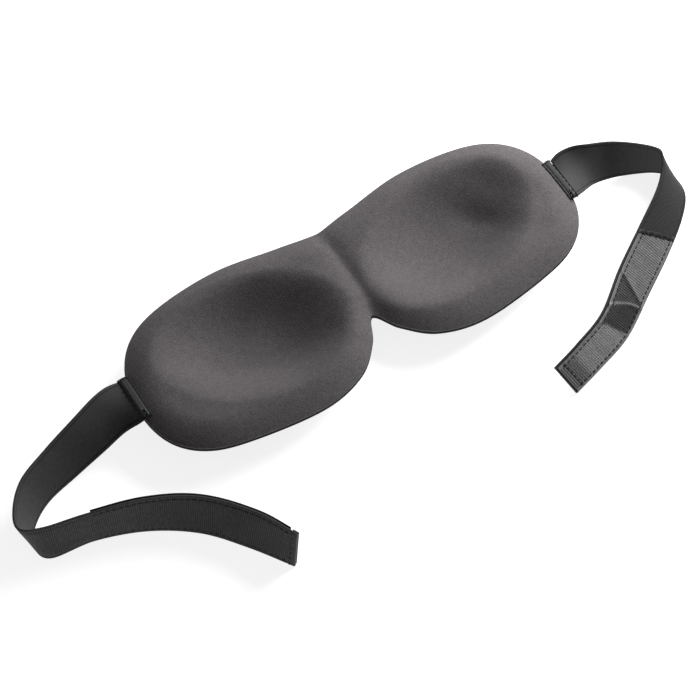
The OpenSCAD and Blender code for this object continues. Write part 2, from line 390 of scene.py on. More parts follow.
def row_tree(template: Template, seed: int) -> bpy.types.NodeTree:
    """Build the tree that sets stitches or hooks along wires whose points hold an up vector.

    Args:
        template: what is repeated.
        seed: the seed of the small turns.

    Returns:
        The tree.
    """
    tree, start, end = new_group(
        Kind.SHAPE, f"{template.value.name}_rows",
        {"Geometry": "Geometry", "Pitch": 0.003, "Length": 0.002, "Height": 0.0003,
         "Thread Radius": 0.0002, "Turn": 0.0, "Jitter": 0.1, "Material": "Material"}, ["Geometry"])
    value = start.outputs
    wire = add_node(tree, "GeometryNodeMeshToCurve", {"Mesh": value["Geometry"]})
    spaced = add_node(tree, "GeometryNodeResampleCurve",
                      {"Curve": wire.outputs[0], "Length": value["Pitch"]}, mode="LENGTH")
    up = stored(tree, "up", "FLOAT_VECTOR")
    tangent = add_node(tree, "GeometryNodeInputTangent").outputs[0]
    along = add_node(tree, "FunctionNodeAlignRotationToVector", {"Vector": tangent}, axis="X")
    upright = add_node(tree, "FunctionNodeAlignRotationToVector",
                       {"Rotation": along.outputs[0], "Vector": up}, axis="Z", pivot_axis="X")
    chance = add_node(tree, "FunctionNodeRandomValue", {"Seed": seed})
    low, high = (next(s for s in chance.inputs if s.name == n and s.type == "VALUE") for n in ("Min", "Max"))
    tree.links.new(maths(tree, "MULTIPLY", value["Jitter"], -1), low)
    tree.links.new(value["Jitter"], high)
    drawn = next(s for s in chance.outputs if s.type == "VALUE")
    spin = add_node(tree, "ShaderNodeCombineXYZ", {"Z": maths(tree, "ADD", drawn, value["Turn"])})
    line = template_curve(tree, template, value["Length"], value["Height"])
    return set_threads(tree, end, spaced.outputs[0], (upright.outputs[0], spin.outputs[0]),
                       line, value, template.value.sides)


def set_threads(tree: bpy.types.NodeTree, end: bpy.types.Node, points: bpy.types.NodeSocket, turns: tuple,
                line: bpy.types.NodeSocket, value: bpy.types.NodeOutputs, sides: int) -> bpy.types.NodeTree:
    """Set a short thread on each point, and end the tree.

    Args:
        tree: the tree.
        end: its output node.
        points: where the threads stand.
        turns: the rotation of each point, and the angles by which its thread turns from there.
        line: the thread's centre line.
        value: the tree's inputs, with the thread's radius and material.
        sides: how many sides the thread has.

    Returns:
        The tree.
    """
    turn = add_node(tree, "FunctionNodeEulerToRotation", {"Euler": turns[1]})
    turned = add_node(tree, "FunctionNodeRotateRotation",
                      {"Rotation": turns[0], "Rotate By": turn.outputs[0]}, rotation_space="LOCAL")
    ring = add_node(tree, "GeometryNodeCurvePrimitiveCircle",
                    {"Resolution": sides, "Radius": value["Thread Radius"]})
    thread = add_node(tree, "GeometryNodeCurveToMesh",
                      {"Curve": line, "Profile Curve": ring.outputs[0], "Fill Caps": sides > 3})
    set_out = add_node(tree, "GeometryNodeInstanceOnPoints",
                       {"Points": points, "Instance": thread.outputs[0], "Rotation": turned.outputs[0]})
    return end_tree(tree, end, set_out.outputs[0], Material=value["Material"])


def pile_tree() -> bpy.types.NodeTree:
    """Build the tree that scatters little thread loops over a face."""
    tree, start, end = new_group(
        Kind.SHAPE, "loop_pile",
        {"Geometry": "Geometry", "Density": 1e6, "Loop Radius": 0.0004, "Thread Radius": 0.00006,
         "Seed": 3, "Material": "Material"}, ["Geometry"])
    value = start.outputs
    spread = add_node(tree, "GeometryNodeDistributePointsOnFaces",
                      {"Mesh": value["Geometry"], "Density": value["Density"], "Seed": value["Seed"]})
    arc = add_node(tree, "GeometryNodeCurveArc",
                   {"Resolution": 6, "Radius": value["Loop Radius"], "Start Angle": -0.35,
                    "Sweep Angle": math.pi + 0.7})
    upright = add_node(tree, "GeometryNodeTransform",
                       {"Geometry": arc.outputs[0], "Rotation": (math.pi / 2, 0, 0)})
    chance = add_node(tree, "FunctionNodeRandomValue", {"Seed": value["Seed"]}, data_type="FLOAT_VECTOR")
    chance.inputs[0].default_value = (-0.5, -0.5, 0.0)
    chance.inputs[1].default_value = (0.5, 0.5, 2 * math.pi)
    return set_threads(tree, end, spread.outputs[0], (spread.outputs["Rotation"], chance.outputs[0]),
                       upright.outputs[0], value, sides=3)


# ---------------------------------------------------------------- finishes


def grain_group() -> bpy.types.NodeTree:
    """Build the shader group for a cloth's grain: fine fibres, small mottling and wide clouds."""
    tree, start, end = new_group(Kind.LOOK, "cloth_grain", {"Vector": "Vector", "Fibre Scale": 1500.0},
                                 ["Fibre", "Mottle", "Cloud"])
    for label, share, detail in (("Fibre", 1.0, 2.0), ("Mottle", 0.22, 3.0), ("Cloud", 0.025, 2.0)):
        scale = maths(tree, "MULTIPLY", start.outputs["Fibre Scale"], share)
        noise = add_node(tree, "ShaderNodeTexNoise",
                         {"Vector": start.outputs["Vector"], "Scale": scale, "Detail": detail})
        tree.links.new(noise.outputs[0], end.inputs[label])
    return tree


def weave_group() -> bpy.types.NodeTree:
    """Build the shader group for a weave on a UV map in metres: ribs one way, threads the other way."""
    tree, start, end = new_group(
        Kind.LOOK, "weave", {"Vector": "Vector", "Rib Pitch": 0.001, "Thread Pitch": 0.0005, "Slant": 0.0},
        ["Rib", "Thread"])
    parts = add_node(tree, "ShaderNodeSeparateXYZ", {0: start.outputs["Vector"]}).outputs
    along = maths(tree, "MULTIPLY_ADD", parts[1], start.outputs["Slant"], parts[0])
    for label, way, pitch in (("Rib", along, "Rib Pitch"), ("Thread", parts[1], "Thread Pitch")):
        turns = maths(tree, "DIVIDE", way, start.outputs[pitch])
        wave = maths(tree, "SINE", maths(tree, "MULTIPLY", turns, 2 * math.pi))
        tree.links.new(maths(tree, "MULTIPLY_ADD", wave, 0.5, 0.5), end.inputs[label])
    return tree


class Groups:
    """The node groups that the pieces share, each built once."""

    def __init__(self) -> None:
        """Build the shader groups and the geometry trees."""
        self.grain = grain_group()
        self.weave = weave_group()
        self.ribs = ribs_tree()
        self.stitches = row_tree(Template.STITCH, seed=7)
        self.hooks = row_tree(Template.HOOK, seed=11)
        self.pile = pile_tree()


@dataclass(frozen=True)
class Finish:
    """A finish: what all of them share.

    Attributes:
        name: the material's name.
        colour: its main colour, linear.
        second: the colour that its grain mixes in, linear.
        roughness: its roughness.
        sheen: the weight of its fibres' sheen.
        bump: the height of its grain, in metres.
        gloss: the level of its mirror reflection.
    """

    name: str
    colour: tuple
    second: tuple
    roughness: float
    sheen: float = 0.0
    bump: float = 0.0001
    gloss: float = 0.25

    def start(self) -> tuple:
        """Make the material with its constants set, and return it with its tree and shader."""
        material = bpy.data.materials.new(self.name)
        material.use_nodes = True
        tree = material.node_tree
        shader = tree.nodes["Principled BSDF"]
        shader.inputs["Base Color"].default_value = (*self.colour, 1)
        shader.inputs["Roughness"].default_value = self.roughness
        shader.inputs["Specular IOR Level"].default_value = self.gloss
        shader.inputs["Sheen Weight"].default_value = self.sheen
        shader.inputs["Sheen Roughness"].default_value = 0.5
        shader.inputs["Sheen Tint"].default_value = (*(min(1.0, 3 * c + 0.3) for c in self.second), 1)
        return material, tree, shader

    def raise_grain(self, tree: bpy.types.NodeTree, shader: bpy.types.Node, height: Value) -> None:
        """Feed a height to the shader's normal through a bump."""
        bump = add_node(tree, "ShaderNodeBump", {"Strength": 1.0, "Distance": self.bump, "Height": height})
        tree.links.new(bump.outputs[0], shader.inputs["Normal"])


@dataclass(frozen=True)
class NapFinish(Finish):
    """A brushed or soft cloth: mottled fibres with no visible weave."""

    fibre_scale: float = 1500.0
    speckle: float = 0.5

    def build(self, groups: Groups) -> bpy.types.Material:
        """Build the material."""
        material, tree, shader = self.start()
        where = add_node(tree, "ShaderNodeTexCoord").outputs["Object"]
        fibre, mottle, cloud = place_group(tree, groups.grain, where, Fibre_Scale=self.fibre_scale)
        mixed = maths(tree, "MULTIPLY_ADD", mottle, 0.25, maths(tree, "MULTIPLY", fibre, 0.7))
        factor = maths(tree, "MULTIPLY_ADD", cloud, 0.15, mixed)
        spread = add_node(tree, "ShaderNodeMapRange",
                          {"Value": factor, "From Min": 0.55 - 0.25 / max(self.speckle, 0.1),
                           "From Max": 0.55 + 0.25 / max(self.speckle, 0.1)})
        tree.links.new(blend_colours(tree, spread.outputs[0], self.colour, self.second),
                       shader.inputs["Base Color"])
        rough = maths(tree, "MULTIPLY_ADD", mottle, 0.12, self.roughness - 0.06)
        tree.links.new(rough, shader.inputs["Roughness"])
        self.raise_grain(tree, shader, maths(tree, "MULTIPLY_ADD", mottle, 0.6, fibre))
        return material


@dataclass(frozen=True)
class WeaveFinish(Finish):
    """A woven tape: ribs and threads that follow its UV map, with a painted highlight on their crests and a
    darker line inside its edges.
    """

    rib_pitch: float = 0.001
    thread_pitch: float = 0.0006
    slant: float = 0.0
    width: float = 0.022
    selvedge: float = 1.0
    line_inset: float = 0.0017
    line_half: float = 0.0003

    def build(self, groups: Groups) -> bpy.types.Material:
        """Build the material."""
        material, tree, shader = self.start()
        where = add_node(tree, "ShaderNodeUVMap", uv_map="UVMap").outputs[0]
        rib, thread = place_group(tree, groups.weave, where, Rib_Pitch=self.rib_pitch,
                                  Thread_Pitch=self.thread_pitch, Slant=self.slant)
        fibre, mottle, cloud = place_group(tree, groups.grain, where, Fibre_Scale=2500.0)
        height = maths(tree, "MULTIPLY_ADD", thread, 0.45, rib)
        # Crests take the lighter second colour: partly rubbed fibres, partly a painted highlight, with
        # painted shade in the grooves between.
        rubbed_and_crest_highlight = maths(tree, "MULTIPLY", mottle, maths(tree, "MULTIPLY", height, 0.9))
        wide = maths(tree, "MULTIPLY_ADD", cloud, 0.3, rubbed_and_crest_highlight)
        colour = blend_colours(tree, wide, self.colour, self.second)
        over = add_node(tree, "ShaderNodeSeparateXYZ", {0: where}).outputs[1]
        off_middle = maths(tree, "ABSOLUTE", maths(tree, "SUBTRACT", over, self.width / 2))
        line = maths(tree, "COMPARE", off_middle, self.width / 2 - self.line_inset, self.line_half)
        dots = maths(tree, "MULTIPLY", line, maths(tree, "MULTIPLY_ADD", rib, 0.5 * self.selvedge,
                                                   0.4 * self.selvedge))
        dark = tuple(0.25 * c for c in self.colour)
        tree.links.new(blend_colours(tree, dots, colour, dark), shader.inputs["Base Color"])
        rough = maths(tree, "MULTIPLY_ADD", mottle, 0.2, self.roughness - 0.1)
        tree.links.new(rough, shader.inputs["Roughness"])
        self.raise_grain(tree, shader, maths(tree, "MULTIPLY_ADD", fibre, 0.3, height))
        return material


@dataclass(frozen=True)
class FilmFinish(Finish):
    """The moulded hook film: glossy plastic whose base colour holds a painted reflection, from a point
    attribute.
    """

    ridge_pitch: float = 0.0013

    def build(self, groups: Groups) -> bpy.types.Material:
        """Build the material."""
        material, tree, shader = self.start()
        where = add_node(tree, "ShaderNodeUVMap", uv_map="UVMap").outputs[0]
        fibre, mottle = place_group(tree, groups.grain, where, Fibre_Scale=900.0)[:2]
        # Painted reflection: near 1 where the film would mirror the bright room, near 0 on the painted dark
        # band.
        painted_reflection = add_node(tree, "ShaderNodeAttribute", attribute_name="painted_reflection").outputs["Fac"]
        field_mask = add_node(tree, "ShaderNodeAttribute", attribute_name="hooked").outputs["Fac"]
        ridges = place_group(tree, groups.weave, where, Rib_Pitch=self.ridge_pitch)[0]
        # The rows of hooks break the painted reflection into fine lines.
        streaks = maths(tree, "MULTIPLY", ridges, field_mask)
        factor = maths(tree, "MULTIPLY_ADD", streaks, -0.6, painted_reflection)
        cloudy = maths(tree, "MULTIPLY_ADD", mottle, 0.25, factor)
        clear = add_node(tree, "ShaderNodeClamp", {0: cloudy}).outputs[0]
        tree.links.new(blend_colours(tree, clear, self.second, self.colour), shader.inputs["Base Color"])
        rough = maths(tree, "MULTIPLY_ADD", mottle, 0.25, self.roughness - 0.12)
        tree.links.new(rough, shader.inputs["Roughness"])
        self.raise_grain(tree, shader, maths(tree, "MULTIPLY_ADD", streaks, 0.8, fibre))
        return material


class Wardrobe:
    """All the finishes of the mask, as materials."""

    def __init__(self, groups: Groups) -> None:
        """Build each material once."""
        self.groups = groups
        self.lining = NapFinish(
            "brushed_lining", (0.088, 0.080, 0.083), (0.162, 0.149, 0.153), 0.92, sheen=0.12,
            bump=0.00016, fibre_scale=1500, speckle=1.4).build(groups)
        self.foam = NapFinish(
            "foam", (0.018, 0.018, 0.019), (0.035, 0.035, 0.037), 0.95, bump=0.0003, fibre_scale=1800,
            speckle=1.2).build(groups)
        self.cover = NapFinish(
            "front_cover", (0.020, 0.019, 0.020), (0.032, 0.031, 0.033), 0.85, sheen=0.1, bump=0.00008,
            fibre_scale=2200, speckle=0.8).build(groups)
        # The webbings' lighter second colours go on the crests of their ribs and threads: rubbed fibres and a
        # painted highlight.
        self.satin = WeaveFinish(
            "satin_webbing", (0.026, 0.026, 0.0265), (0.072, 0.070, 0.073), 0.72, sheen=0.06,
            bump=0.00005, rib_pitch=0.0007, thread_pitch=0.0005).build(groups)
        self.ribbed = WeaveFinish(
            "ribbed_webbing", (0.012, 0.011, 0.0115), (0.115, 0.111, 0.110), 0.8, sheen=0.04,
            bump=0.00006, rib_pitch=0.001, thread_pitch=0.0007, selvedge=0.2).build(groups)
        self.twill = WeaveFinish(
            "twill_webbing", (0.006, 0.006, 0.006), (0.032, 0.031, 0.0315), 0.75, sheen=0.04,
            bump=0.00012, rib_pitch=0.0011, thread_pitch=0.0007, slant=0.9).build(groups)
        self.tab = WeaveFinish(
            "tab_webbing", (0.030, 0.030, 0.032), (0.085, 0.085, 0.088), 0.62, sheen=0.08, bump=0.0001,
            rib_pitch=0.0008, thread_pitch=0.0006, width=0.2).build(groups)
        self.pile = NapFinish(
            "loop_pile", (0.014, 0.014, 0.0145), (0.030, 0.030, 0.031), 0.8, sheen=0.15,
            fibre_scale=1200, speckle=1.0).build(groups)
        # The film's bright colour stands in for mirrored light and its dark colour for painted shade; its
        # painted reflection mixes the two.
        self.film = FilmFinish(
            "hook_film", (0.300, 0.300, 0.307), (0.008, 0.008, 0.0085), 0.42, bump=0.00008,
            gloss=0.4).build(groups)
        self.thread = NapFinish(
            "thread", (0.008, 0.008, 0.008), (0.022, 0.022, 0.022), 0.6, sheen=0.1, fibre_scale=5000,
            speckle=1.0, bump=0.00003).build(groups)
        self.strand = NapFinish(
            "matching_thread", (0.030, 0.030, 0.030), (0.065, 0.064, 0.065), 0.7, sheen=0.1,
            fibre_scale=5000, speckle=1.0, bump=0.00003).build(groups)
        self.fleck = NapFinish(
            "loose_fibre", (0.30, 0.30, 0.31), (0.5, 0.5, 0.5), 0.6, fibre_scale=5000,
            bump=0.00002).build(groups)


# ---------------------------------------------------------------- the mask


@dataclass
class MaskShape:
    """The mask's two sides as heights over its plan, in mm.

    Attributes:
        edge_height: the height of the pressed edge's upper side.
        edge_thick: how thick the pressed edge is.
        rim_rise: how far the padded rim rises over the edge.
        shoulder: how far in from the edge the rim is at its full height.
        cavity_depth: how far the eye cavity goes down from the rim.
        bridge_dip: how far the middle of the bridge lies below the edge.
        bridge_half: the distance over which the dip fades.
        bridge_round: how round its lowest line is.
        eye: the middle of the bulge on the front side.
        cavity_at: the middle of the eye cavity.
        cavity_size: how far the cavity reaches along and across.
        cavity_tilt: how far its middle line rises for each mm outwards.
        cup_size: how far the bulge reaches along and across.
        span_steps: how many steps each span of the outline has.
        outline: points of the right half, from the brow's middle round the tip to the nose notch.
    """

    edge_height: float = 17.0
    edge_thick: float = 2.6
    rim_rise: float = 5.0
    shoulder: float = 14.0
    cavity_depth: float = 17.0
    bridge_dip: float = 2.0
    bridge_half: float = 4.5
    bridge_round: float = 2.5
    eye: tuple = RIGHT_EYE
    cavity_at: tuple = (54.5, 3.0)
    cavity_size: tuple = (50.5, 35.5)
    cavity_tilt: float = 0.14
    cup_size: tuple = (57.0, 43.0)
    span_steps: int = 11
    outline: tuple = ((0, 38), (20, 40.5), (52, 45.3), (84, 42.8), (104, 35), (116, 20), (120, -2),
                      (116, -21), (104, -34), (84, -41), (46, -45.5), (22, -40), (8, -27.5), (0, -15))

    def __post_init__(self) -> None:
        """Work out the smooth half outline."""
        p = np.array(self.outline, float)
        at = np.linspace(0, len(p) - 1, self.span_steps * (len(p) - 1) + 1)
        mirror = np.array([-1.0, 1.0])
        self.edge = curve(p, at, p[1] * mirror, p[-2] * mirror)
        self.edge[:, 0] = np.maximum(self.edge[:, 0], 0)

    def edge_distance(self, xy: Array) -> Array:
        """Return the distance of each plan point from the half outline."""
        a, b = self.edge[:-1], self.edge[1:]
        ab = b - a
        best = np.full(len(xy), 1e9)
        for start, way in zip(a, ab):
            t = np.clip(((xy - start) @ way) / (way @ way), 0, 1)
            best = np.minimum(best, np.linalg.norm(xy - start - t[:, None] * way, axis=1))
        return best

    def cavity(self, xy: Array) -> Array:
        """Return the eye cavity's depth: 1 on its floor and 0 outside it."""
        x, y = (xy - np.array(self.cavity_at)).T
        r = np.hypot(x / self.cavity_size[0], (y - self.cavity_tilt * x) / self.cavity_size[1])
        return (1 - np.minimum(r, 1) ** 2.4) ** 1.8

    def cup(self, xy: Array) -> Array:
        """Return the bulge under the eye: 1 at its middle and 0 outside it."""
        r = np.linalg.norm((xy - np.array(self.eye)) / np.array(self.cup_size), axis=1)
        return (1 - np.minimum(r, 1) ** 2) ** 1.6

    def dip(self, xy: Array) -> Array:
        """Return how far the bridge dips."""
        reach = np.hypot(xy[:, 0], self.bridge_round) - self.bridge_round
        return self.bridge_dip * np.exp(-reach / self.bridge_half)

    def face(self, xy: Array) -> Array:
        """Return the height of the face side over points of the right half."""
        dip = self.dip(xy)
        rise = 1 - (1 - np.minimum(1, self.edge_distance(xy) / self.shoulder)) ** 1.8
        return (self.edge_height - dip + rise * (self.rim_rise - 0.8 * dip)
                - self.cavity_depth * self.cavity(xy))

    def front(self, xy: Array) -> Array:
        """Return the height of the front side over points of the right half."""
        return ((self.edge_height - self.edge_thick - self.dip(xy))
                * np.maximum(0, 1 - 1.06 * self.cup(xy)))


@dataclass(frozen=True)
class Wrinkle:
    """A shallow fold line in the lining, from one plan point to another, in mm."""

    start: tuple
    end: tuple
    depth: float
    half_width: float
    end_fade: float = 3.0

    def depth_at(self, xy: Array) -> Array:
        """Return the fold's depth at plan points: a groove with a soft ridge beside it."""
        a, way = np.array(self.start), np.array(self.end) - np.array(self.start)
        length = np.linalg.norm(way)
        t = ((xy - a) @ way) / length**2
        beyond = np.maximum(0, np.abs(t - 0.5) - 0.5) * length / self.end_fade
        fade = np.exp(-(((np.clip(t, 0, 1) - 0.5) / 0.33) ** 2)) * np.exp(-(beyond**2))
        side = ((xy[:, 0] - a[0]) * way[1] - (xy[:, 1] - a[1]) * way[0]) / length / self.half_width
        return self.depth * fade * (np.exp(-(side**2)) - 0.5 * np.exp(-((side - 1.8) ** 2)))


class Side(Enum):
    """The two halves of the mask, with the sign of X on each."""

    LEFT = -1
    RIGHT = 1

    @property
    def word(self) -> str:
        """Return left or right."""
        return self.name.lower()


class Level(Enum):
    """The side that faces the wearer and the side that faces away."""

    FACE = "face"
    FRONT = "front"


@dataclass
class MaskBody:
    """The moulded mask: a lining, a foam core and a front cover, each one piece over both lobes.

    Attributes:
        cover_thick: how thick the lining and the cover are.
        layer_gap: the gap between two layers.
        rings: how many rings of faces each half has.
        bridge_steps: how many steps the bridge has across.
        fold_half: how far on each side of the middle the bridge's fold reaches.
        wrinkles: the lining's fold lines.
        unevenness: how far the lining rises and falls.
        bridge_shift: how far the bridge's lowest line lies off the middle.
        bridge_ease: how deep the bridge is there, as a share of the plain dip.
        flat: the size of the cloth as cut, in metres; not used.
        flat_area: its area in square metres; not used.
    """

    wardrobe: Wardrobe
    shape: MaskShape = field(default_factory=MaskShape)
    cover_thick: float = 0.7
    layer_gap: float = 0.05
    rings: int = 54
    bridge_steps: int = 36
    fold_half: float = 12.0
    wrinkles: tuple = (Wrinkle((-70, -14), (-42, -6), 0.4, 1.1), Wrinkle((-66, -19), (-40, -11), 0.3, 1.0),
                       Wrinkle((-72, -9), (-48, -2), 0.25, 1.0), Wrinkle((48, -26), (72, -10), 0.3, 2.2),
                       Wrinkle((88, -10), (62, 22), 1.3, 6.0))
    unevenness: float = 0.35
    bridge_shift: float = 2.0
    bridge_ease: float = 0.75
    flat: tuple = (0.091, 0.240)
    flat_area: float = 0.0185

    def plan(self) -> tuple:
        """Return the plan points of the right half, ring by ring, and the number of edge points."""
        shape = self.shape
        brow, notch = shape.edge[0], shape.edge[-1]
        t = np.linspace(0, 1, self.bridge_steps + 1)[1:-1, None]
        loop = np.vstack([shape.edge, notch + (brow - notch) * t])
        reach = np.sin(np.linspace(0, 1, self.rings + 1)[1:] * math.pi / 2)
        eye = np.array(shape.eye)
        rings = [eye + r * (loop - eye) for r in reach]
        return np.vstack([eye, *rings]), len(shape.edge), len(loop)

    def surface(self, plan: Array, level: Level, offset: float, side: int) -> Array:
        """Return a level's points over the plan, mirrored for the left side.

        Args:
            plan: plan points of the right half.
            level: the mask's side that it follows.
            offset: how far the level lies from that side, up being positive.
            side: 1 for the right half and -1 for the left one.

        Returns:
            The points in mm.
        """
        z = (self.shape.face if level is Level.FACE else self.shape.front)(plan) + offset
        real = plan * np.array([side, 1])
        if level is Level.FACE:
            inside = smooth_step(self.shape.edge_distance(plan), 2, 14)
            waves = (np.sin(real[:, 0] * 0.11 + 1.3 * np.sin(real[:, 1] * 0.09 + 0.7))
                     * np.sin(real[:, 1] * 0.13 + 1.1 * np.sin(real[:, 0] * 0.07)))
            z = z + inside * (self.unevenness * waves - sum(w.depth_at(real) for w in self.wrinkles))
            moved = self.bridge_ease * self.shape.dip(real - np.array([self.bridge_shift, 0]))
            z = z + (self.shape.dip(plan) - moved) * (1 + 0.8 * inside)
        return np.column_stack([real, z])

    def layer(self, name: str, top: tuple, bottom: tuple, material: bpy.types.Material,
              grow: float = 0.0) -> bpy.types.Object:
        """Build one closed layer over both lobes.

        Args:
            name: the piece's name.
            top: the level and the offset of its upper side.
            bottom: the level and the offset of its lower side.
            material: its finish.
            grow: how far its edge stands out past the outline, in mm.

        Returns:
            The piece.
        """
        plan, edge_count, loop = self.plan()
        outer = 1 + (self.rings - 1) * loop
        points, faces = [], []
        for side in (1, -1):
            sheets = []
            for level, offset in (top, bottom):
                sheet = self.surface(plan, level, offset, side)
                out = sheet[outer:, :2] - np.array(self.shape.eye) * [side, 1]
                sheet[outer:outer + edge_count - 1, :2] += grow * unit(out)[:edge_count - 1]
                sheets.append(sheet)
            base = sum(len(p) for p in points)
            count = len(plan)
            points += sheets
            for low in (0, count):
                start = base + low
                faces += [(start, start + 1 + k, start + 1 + (k + 1) % loop) for k in range(loop)]
                faces += [tuple(start + 1 + i for i in f) for f in grid_faces(self.rings, loop, True)]
            rim = base + outer
            faces += [(rim + k, rim + k + 1, rim + k + 1 + count, rim + k + count)
                      for k in range(edge_count - 1)]
        made = make_object(name, np.vstack(points), faces, [material])
        set_uv(made, points_of(made.data)[:, :2])
        return made

    def build(self) -> list:
        """Build and dress the three layers, and return them."""
        skin, gap = self.cover_thick, self.layer_gap
        face, front, box = Level.FACE, Level.FRONT, self.wardrobe
        lining = self.layer("mask_lining", (face, 0), (face, -skin), box.lining)
        foam = self.layer("mask_foam", (face, -skin - gap), (front, skin + gap), box.foam)
        cover = self.layer("mask_cover", (front, skin), (front, 0), box.cover, grow=0.2)
        start, end = (place([s * self.fold_half, 0, self.shape.edge_height]) for s in (1, -1))
        for piece, node, slot in ((lining, "face_lining", "brushed_lining"), (foam, "foam_core", "foam"),
                                  (cover, "front_cover", "front_cover")):
            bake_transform(piece, "right_lobe", "left_lobe", start=start, end=end)
            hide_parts(f"right_{node}", f"left_{node}")
        return [lining, foam, cover]


# ---------------------------------------------------------------- seams


def wires(name: str, lines: Sequence, ups: Sequence) -> bpy.types.Object:
    """Make an object of open wires whose points hold an up vector.

    Args:
        name: the object's name.
        lines: for each wire its points in mm.
        ups: for each wire its up vectors, one for each point.

    Returns:
        The object.
    """
    edges, count = [], 0
    for line in lines:
        edges += [(count + i, count + i + 1) for i in range(len(line) - 1)]
        count += len(line)
    made = make_object(name, np.vstack(lines), [], edges=edges, tidy=False)
    set_attribute(made, "up", np.vstack(ups))
    return made


def joined(name: str, parts: Sequence) -> bpy.types.Object:
    """Join plain meshes into the first one, and name it."""
    whole = bmesh.new()
    materials = []
    for part in parts:
        first = len(whole.faces)
        whole.from_mesh(part.data)
        whole.faces.ensure_lookup_table()
        slots = [m for m in part.data.materials if m]
        for material in slots:
            if material not in materials:
                materials.append(material)
        for face in whole.faces[first:]:
            face.material_index = materials.index(slots[min(face.material_index, len(slots) - 1)])
    mesh = bpy.data.meshes.new(name)
    whole.to_mesh(mesh)
    whole.free()
    for material in materials:
        mesh.materials.append(material)
    for part in parts:
        bpy.data.objects.remove(part)
    return link_object(name, mesh)


def dress(body: str, *rows: tuple) -> None:
    """Let pieces ride on a body: each row has a piece, the nodes it stands for and a material slot name,
    which is not used.
    """
    for piece, nodes, slot in rows:
        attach(piece, body)
        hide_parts(*nodes)


@dataclass
class Sewing:
    """Sews rows of stitches and bar tacks."""

    wardrobe: Wardrobe
    length: float = 2.2
    pitch: float = 3.0
    radius: float = 0.2

    def row(self, lines: Sequence, ups: Sequence, pitch: float | None = None, radius: float | None = None,
            material: bpy.types.Material | None = None) -> bpy.types.Object:
        """Sew a row of single stitches along each line.

        Args:
            lines: for each row its points in mm.
            ups: for each row its up vectors.
            pitch: the distance from stitch to stitch in mm, if it isn't the usual one.
            radius: the thread's radius in mm, if it isn't the usual one.
            material: the thread's material, if it isn't the black one.

        Returns:
            The stitches as one mesh.
        """
        return run_nodes(wires("row", lines, ups), self.wardrobe.groups.stitches,
                         Pitch=(pitch or self.pitch) * MM, Length=self.length * MM, Height=0.28 * MM,
                         Thread_Radius=(radius or self.radius) * MM, Turn=0.0, Jitter=0.06,
                         Material=material or self.wardrobe.thread)

    def bar(self, lines: Sequence, ups: Sequence, reach: float) -> bpy.types.Object:
        """Sew a bar tack along each line: close threads across it, reach mm long."""
        return run_nodes(wires("bar", lines, ups), self.wardrobe.groups.stitches,
                         Pitch=0.34 * MM, Length=reach * MM, Height=0.34 * MM, Thread_Radius=0.16 * MM,
                         Turn=math.pi / 2, Jitter=0.35, Material=self.wardrobe.thread)


# ---------------------------------------------------------------- the root tabs


